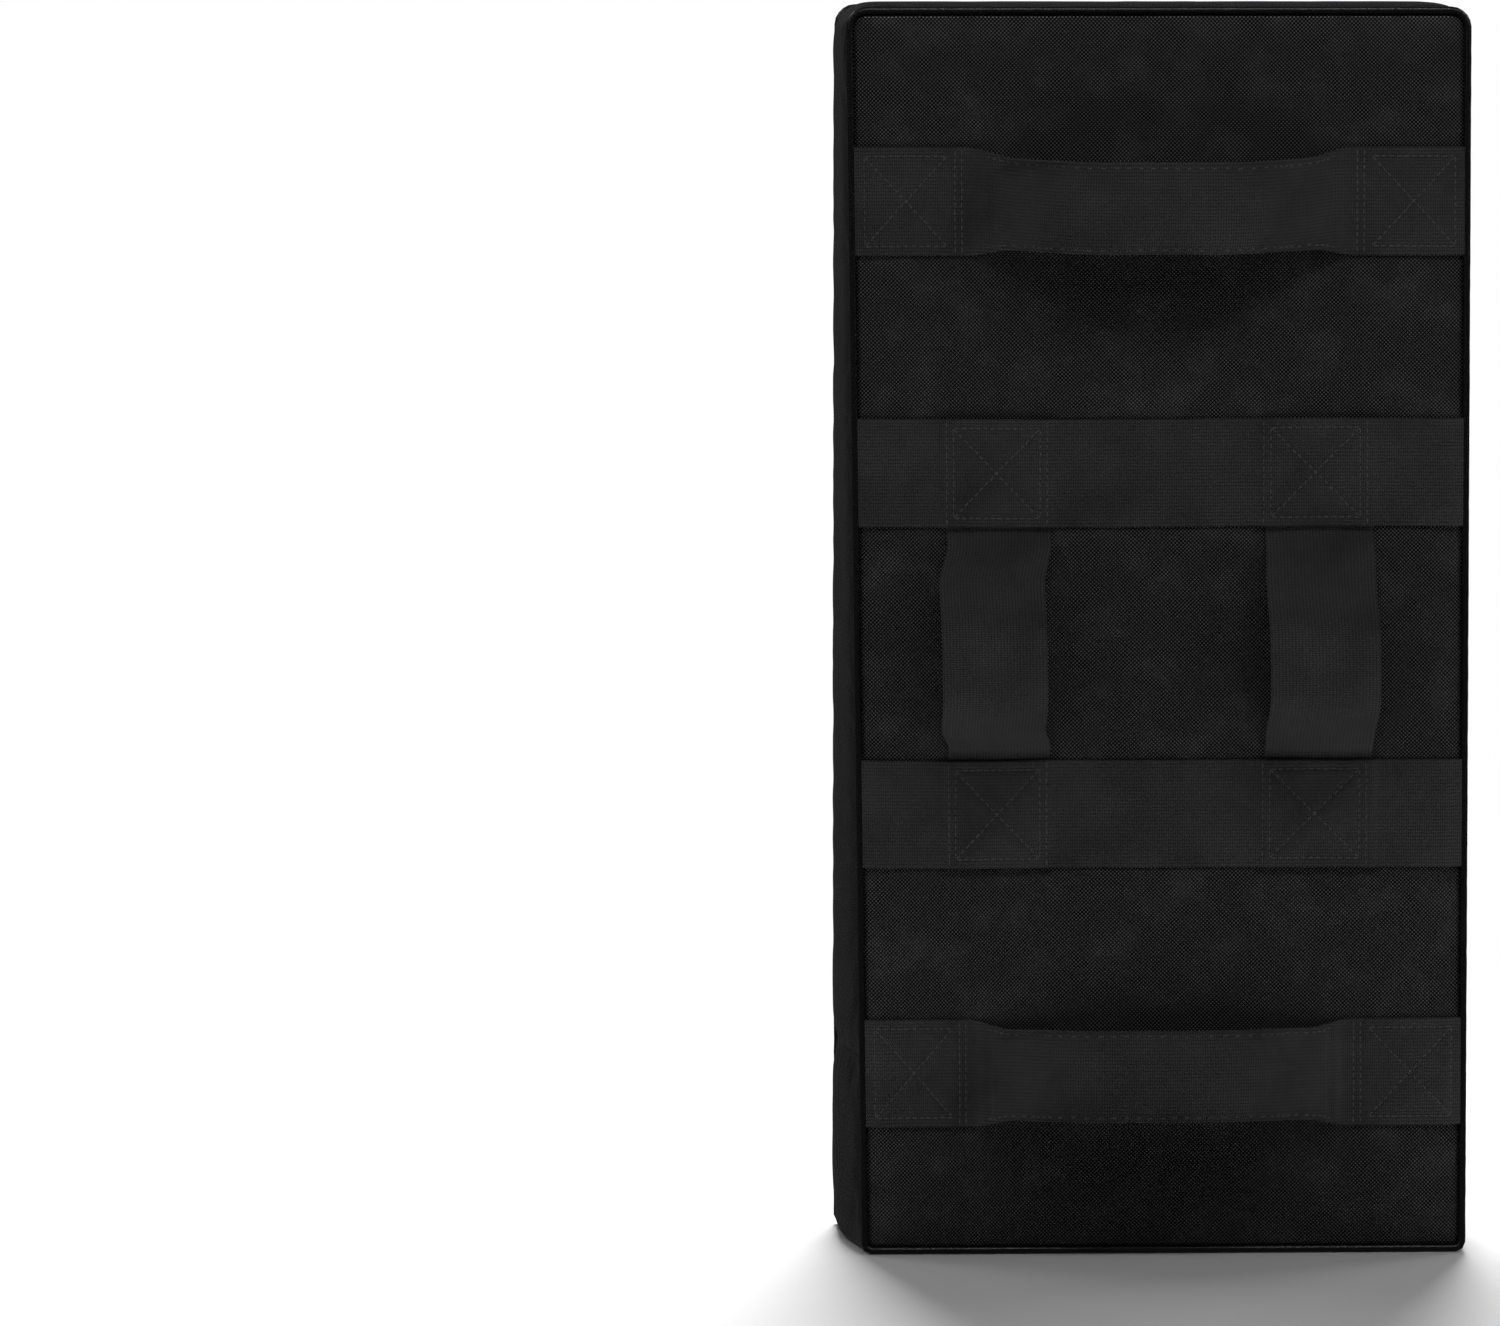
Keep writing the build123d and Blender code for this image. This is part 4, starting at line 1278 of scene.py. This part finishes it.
def handle_rows(strap):
    """Rows that stay on the shield, and rows along the pad's two edges."""
    fixed = []
    for side in (-1, 1):
        u = strap.u_of(side * END_BOX_X)
        fixed += crossed_box(u, END_BOX, LOOP_BOX)
        fixed.append(line_across(u - side * END_BOX / 2, LOOP_BOX / 2))
        for place in (FOOT_LINE, FOOT_LINE + DOUBLE):
            fixed.append(line_across(strap.u_of(side * place), WEB_HALF - 1.2 * MM))
    edges = []
    stops = np.linspace(PAD_START - 5 * MM, -PAD_START + 5 * MM, 30)
    for edge in (-1, 1):
        u = np.array([strap.u_of(place) for place in stops])
        v = edge * (strap.at(strap.half_width, u) - EDGE_ROW)
        edges += list(zip(zip(u[:-1], v[:-1]), zip(u[1:], v[1:])))
    return fixed, edges


# %% Sew the handles
for seed, (side, height) in enumerate(HANDLES.items()):
    strap = handle_strap(height, HANDLE_DROOP[side])
    fixed, edges = handle_rows(strap)
    middle_u = strap.u[-1] / 2
    grooves = pulled(fixed + edges, seed + 0.7, wave=0.35 * MM)

    def relief(u, v, facing, grooves=grooves, middle_u=middle_u, seed=seed):
        """Thread grooves, and the long soft creases of webbing that is bent round a pad."""
        from_middle = u - middle_u
        along_ridge = ease(1 - np.abs(from_middle) / RIDGE_REACH)
        along_ridge = along_ridge * (1 + ripple(u, 0.0, seed + 4.0, 30 * MM))
        ridge = RIDGE * along_ridge * hill(v - RIDGE_AT, 3 * MM)
        slack_at, climb = SLACK[seed]
        above = ease((v - slack_at - climb * (from_middle + NARROWED)) / (2.5 * MM))
        run = ease((SLACK_RUN[1] - from_middle) / (20 * MM))
        run = run * ease((from_middle - SLACK_RUN[0]) / (14 * MM))
        fold = END_FOLD * hill(np.abs(from_middle) - END_FOLD_AT, 2.2 * MM)
        creases = ridge - SLACK_DEEP * above * run - fold
        return grooves(u, v, facing) + creases * (facing > 0)

    strap.relief = relief
    moving = {
        "body": f"{side}_handle",
        "bend": ((0, BACK + BLEND_FROM, height), (0, BACK + BLEND_TO, height)),
    }
    outside = strap.build(f"{side}_handle_strap", webbing, 40)
    dress(outside, "webbing", f"{side}_handle_strap_ends", f"{side}_handle_webbing", **moving)
    seam = sew(f"{side}_handle_thread", strap, fixed + edges)
    dress(seam, "thread", f"{side}_handle_stitching", **moving)

    # what the webbing is folded round: the pad itself, a little smaller, and the lining under it
    keep = np.abs(strap.line[:, 0]) < PAD_START - INSERT_SHORT
    line, across, outward = strap.line[keep], strap.across[keep], strap.outward[keep]
    half_width, half_thick = strap.half_width[keep], strap.half_thick[keep]

    def pad_relief(u, v, facing, relief=relief, first=strap.u[keep][0]):
        return relief(u + first, v, facing)

    narrower, thinner = half_width - INSERT_NARROW, half_thick - INSERT_THIN
    pad = Strap(line, across, outward, narrower, thinner, PAD_ROUND, pad_relief)
    insert = pad.build(f"{side}_handle_pad", soft_foam, 14)
    dress(insert, "soft_foam", f"{side}_handle_foam", **moving)
    palm_line = line - outward * (half_thick + 0.25 * MM)[:, None]
    palm = Strap(palm_line, across, outward, half_width - LINING_NARROW, LINING_HALF, 6.0)
    lining = palm.build(f"{side}_handle_palm", webbing, 20)
    dress(lining, "webbing", f"{side}_handle_lining", **moving)


# %% [markdown]
# ## Forearm loops
# The two loops stand off the back between the bands. Each end is tucked under its band. The
# webbing comes out nearly flat, bends out within a few millimetres, and returns more sharply at the
# bottom, where the slack gathers. Webbing bent one way also curls a little across its width.

# %% Thread the loops
LOOP_STAND_OFF = 44 * MM
LOOP_TAIL = 46 * MM
LOOP_LEAD = 4 * MM
LOOP_UPPER_RUN = 42 * MM
LOOP_LOWER_RUN = 24 * MM
LOOP_BENDS = (5.6 * MM, 16 * MM, 16 * MM, 5.6 * MM)
SLUMP = (4.6 * MM, 0.6 * MM)  # the left loop hangs a little outwards
CURL = 0.72 * MM
BEND_HEIGHT = 0.295
upper_edge = BANDS["upper"] - WEB_HALF
lower_edge = BANDS["lower"] + WEB_HALF
on_back, stood_off = BACK + WEB / 2, BACK + LOOP_STAND_OFF

for seed, (side, x) in enumerate((("left", LOOP_X), ("right", -LOOP_X))):
    flat_line, _ = rounded_line(
        [
            (on_back, upper_edge + LOOP_TAIL),
            (on_back, upper_edge - LOOP_LEAD),
            (stood_off, upper_edge - LOOP_LEAD - LOOP_UPPER_RUN),
            (stood_off, lower_edge + LOOP_LEAD + LOOP_LOWER_RUN),
            (on_back, lower_edge + LOOP_LEAD),
            (on_back, lower_edge - LOOP_TAIL),
        ],
        LOOP_BENDS,
        1.5 * MM,
    )
    y, z = flat_line[:, 0], flat_line[:, 1]
    free = ease((y - BACK - 4 * MM) / (20 * MM))
    lean = free * (0.9 * MM * ripple(z, x, 5.0, 45 * MM) + SLUMP[seed])
    line = np.stack([x + lean, y, z], axis=1)
    normal = leftward(flat_line)
    normal *= 1 if normal[len(normal) // 2, 0] > 0 else -1
    twist = free * 0.05 * ripple(z, x, 9.0, 50 * MM)
    across = np.stack([np.cos(twist), np.sin(twist), 0 * twist], axis=1)
    outward = np.stack([-np.sin(twist) * normal[:, 0], normal[:, 0], normal[:, 1]], axis=1)

    def curl(u, v, facing, seed=seed):
        """Across its width a bent strap lifts at the middle and waves a little."""
        return -CURL * (v / WEB_HALF) ** 2 + 0.3 * MM * ripple(u, v, seed + 11.0, 26 * MM)

    strap = Strap(line, across, outward, WEB_HALF * (1 + 0.012 * free), WEB / 2, FLAT, curl)
    loop = strap.build(f"{side}_loop_strap", webbing, 34)
    bend = ((x, BACK + BLEND_FROM, BEND_HEIGHT), (x, BACK + BLEND_TO, BEND_HEIGHT))
    dress(loop, "webbing", f"{side}_loop_ends", f"{side}_loop_webbing", body=f"{side}_loop", bend=bend)


# %% [markdown]
# ## The zip
# Two woven tapes lie in the slot under the base. Along their near edges runs the chain: a nylon line
# wound into a flattened coil and sewn to each tape. Seen from the floor's side, the coils cover
# the tapes' edges. The stops, the slider and its pull are castings, so they keep the frame's
# shapes with their edges rounded.

# %% Wind the zip
COIL_PITCH = 1.6 * MM
COIL_LINE = 0.34 * MM  # radius of the nylon line
COIL_STEPS = 10

for side in ("front", "back"):
    low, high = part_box(f"zip_tape_{side}")
    x = np.linspace(high.x, low.x, round((high.x - low.x) / (1.5 * MM)) + 1)
    centre_y, centre_z = (low.y + high.y) / 2, (low.z + high.z) / 2
    line = np.stack([x, 0 * x + centre_y, centre_z + 0.08 * MM * ripple(x, low.y, 0.0, 12 * MM)], axis=1)
    tape = Strap(
        line,
        np.broadcast_to(OUT, line.shape),
        np.broadcast_to(-UP, line.shape),
        (high.y - low.y) / 2,
        (high.z - low.z) / 2,
        FLAT,
    )
    dress(tape.build(f"{side}_zip_tape", zip_cloth, 8), "zip_tape", f"zip_tape_{side}")

    low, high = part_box(f"zip_coil_{side}")
    turns = (high.x - low.x) / COIL_PITCH
    angle = np.linspace(0, 2 * math.pi * turns, round(turns * COIL_STEPS) + 1)
    flattened = np.abs(np.cos(angle)) ** 0.7 * np.sign(np.cos(angle))
    x = low.x + (high.x - low.x) * angle / angle[-1]
    y = (low.y + high.y) / 2 + ((high.y - low.y) / 2 - COIL_LINE) * flattened
    z = (low.z + high.z) / 2 + ((high.z - low.z) / 2 - COIL_LINE) * np.sin(angle)
    line = np.stack([x, y, z], axis=1)
    points, faces = tube(line, COIL_LINE, 6)
    coil = piece(f"{side}_zip_coil", tug(points), faces, zip_nylon)
    dress(coil, "zip_coil", f"zip_coil_{side}")
    print(coil.name, "has", round(turns), "turns")


for node, name, body, edge in (
    ("zip_stops", "zip_end_stops", "shield", 0.3 * MM),
    ("zip_slider", "zip_slider_casting", "zip_slider", 0.3 * MM),
    ("zip_pull", "zip_pull_tab", "zip_pull", 0.35 * MM),
):
    made = copy_of(node, name, zip_metal)
    bevel = {"width": edge, "segments": 2, "limit_method": "ANGLE", "angle_limit": math.radians(30)}
    baked(made, ("BEVEL", bevel))
    if body == "shield":
        place_at(made, tug(places(made.data)))
    dress(made, "zip_metal", node, body=body)


# %% [markdown]
# ## The printed target
# The strike face carries a plain round target and a bar. Ink follows the vinyl, so each mark is a
# thin film laid on the swollen panel: every point of a flat grid is dropped onto the panel by a
# ray.

# %% Print the marks
PROUD = 0.16 * MM
SUNK = 0.10 * MM
INK_CELL = 1.6 * MM
BAR_HEIGHT = 8 * MM
RING_STEPS = 144
panel = bpy.data.objects["front_panel_vinyl"].data
vinyl_tree = BVHTree.FromPolygons(
    [vertex.co[:] for vertex in panel.vertices], [polygon.vertices[:] for polygon in panel.polygons]
)


def film(x, z, ring):
    """A closed film over a grid of places on the strike face: points, faces, flat coordinates."""
    starts = [Vector((px, FRONT - 0.1, pz)) for px, pz in zip(x.flat, z.flat)]
    hits = [vinyl_tree.ray_cast(start, Vector(OUT))[0] for start in starts]
    y = np.array([hit.y for hit in hits]).reshape(x.shape)
    outer = np.stack([x, y - PROUD, z], axis=-1)
    inner = np.stack([x, y + SUNK, z], axis=-1)
    rows, columns = x.shape
    over = grid_faces(rows, columns, ring)
    under = over[:, ::-1] + rows * columns
    index = np.arange(rows * columns).reshape(rows, columns)
    if ring:
        loops = [np.r_[index[0], index[0, 0]], np.r_[index[-1], index[-1, 0]][::-1]]
    else:
        loops = [np.r_[index[0], index[1:, -1], index[-1, -2::-1], index[-2::-1, 0]]]
    edges = [edge for loop in loops for edge in zip(loop[:-1], loop[1:])]
    rim = [[b, a, a + rows * columns, b + rows * columns] for a, b in edges]
    points = np.concatenate([outer.reshape(-1, 3), inner.reshape(-1, 3)])
    return points, over.tolist() + under.tolist() + rim, points[:, [0, 2]]


def ring_film(height, outside, inside):
    """A ring round the target's middle."""
    turn = np.linspace(0, 2 * math.pi, RING_STEPS, endpoint=False)
    radii = np.linspace(inside, outside, max(2, round((outside - inside) / INK_CELL) + 1))
    ragged = radii[:, None] + 0.06 * MM * np.sin(turn * 37) * (radii[:, None] > 5 * MM)
    return film(ragged * np.cos(turn), height + ragged * np.sin(turn), ring=True)


def bar_film(node):
    """The bar, over the lowest part of that node's box."""
    low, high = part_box(node)
    x, z = np.meshgrid(
        np.linspace(low.x, high.x, round((high.x - low.x) / INK_CELL)),
        np.linspace(low.z, low.z + BAR_HEIGHT, round(BAR_HEIGHT / INK_CELL) + 1),
    )
    return film(x, z, ring=False)


TARGET = middle_height("black_print")
print_low, print_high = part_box("black_print")
OUTSIDE = (print_high.x - print_low.x) / 2
rings = {
    "white": ((OUTSIDE + 4 * MM, OUTSIDE), (16 * MM, 13 * MM)),
    "black": ((OUTSIDE, 27 * MM), (13 * MM, 0.05 * MM)),
}
for colour, material in (("white", white_ink), ("black", black_ink)):
    parts = [ring_film(TARGET, outside, inside) for outside, inside in rings[colour]]
    if colour == "white":
        parts.append(bar_film("white_print"))
    points, faces, flat = [], [], []
    for part_points, part_faces, part_flat in parts:
        faces += [[index + sum(len(p) for p in points) for index in face] for face in part_faces]
        points.append(part_points)
        flat.append(part_flat)
    points, flat = np.concatenate(points), np.concatenate(flat)
    inked = piece(f"{colour}_marks", points, faces, material, flat, closed=True)
    dress(inked, f"{colour}_print", f"{colour}_print")


# %% [markdown]
# ## Measure
# Both boxes, the frame's and the finished surfaces', are printed, so that anyone can compare them.

# %% Write the sizes down
low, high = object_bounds()
sizes = {"cad": [list(cad_low), list(cad_high)], "visual": [list(low), list(high)]}
for name, (a, b) in sizes.items():
    print(f"{name}: " + " x ".join(f"{(q - p) / MM:.1f}" for p, q in zip(a, b)) + " mm")
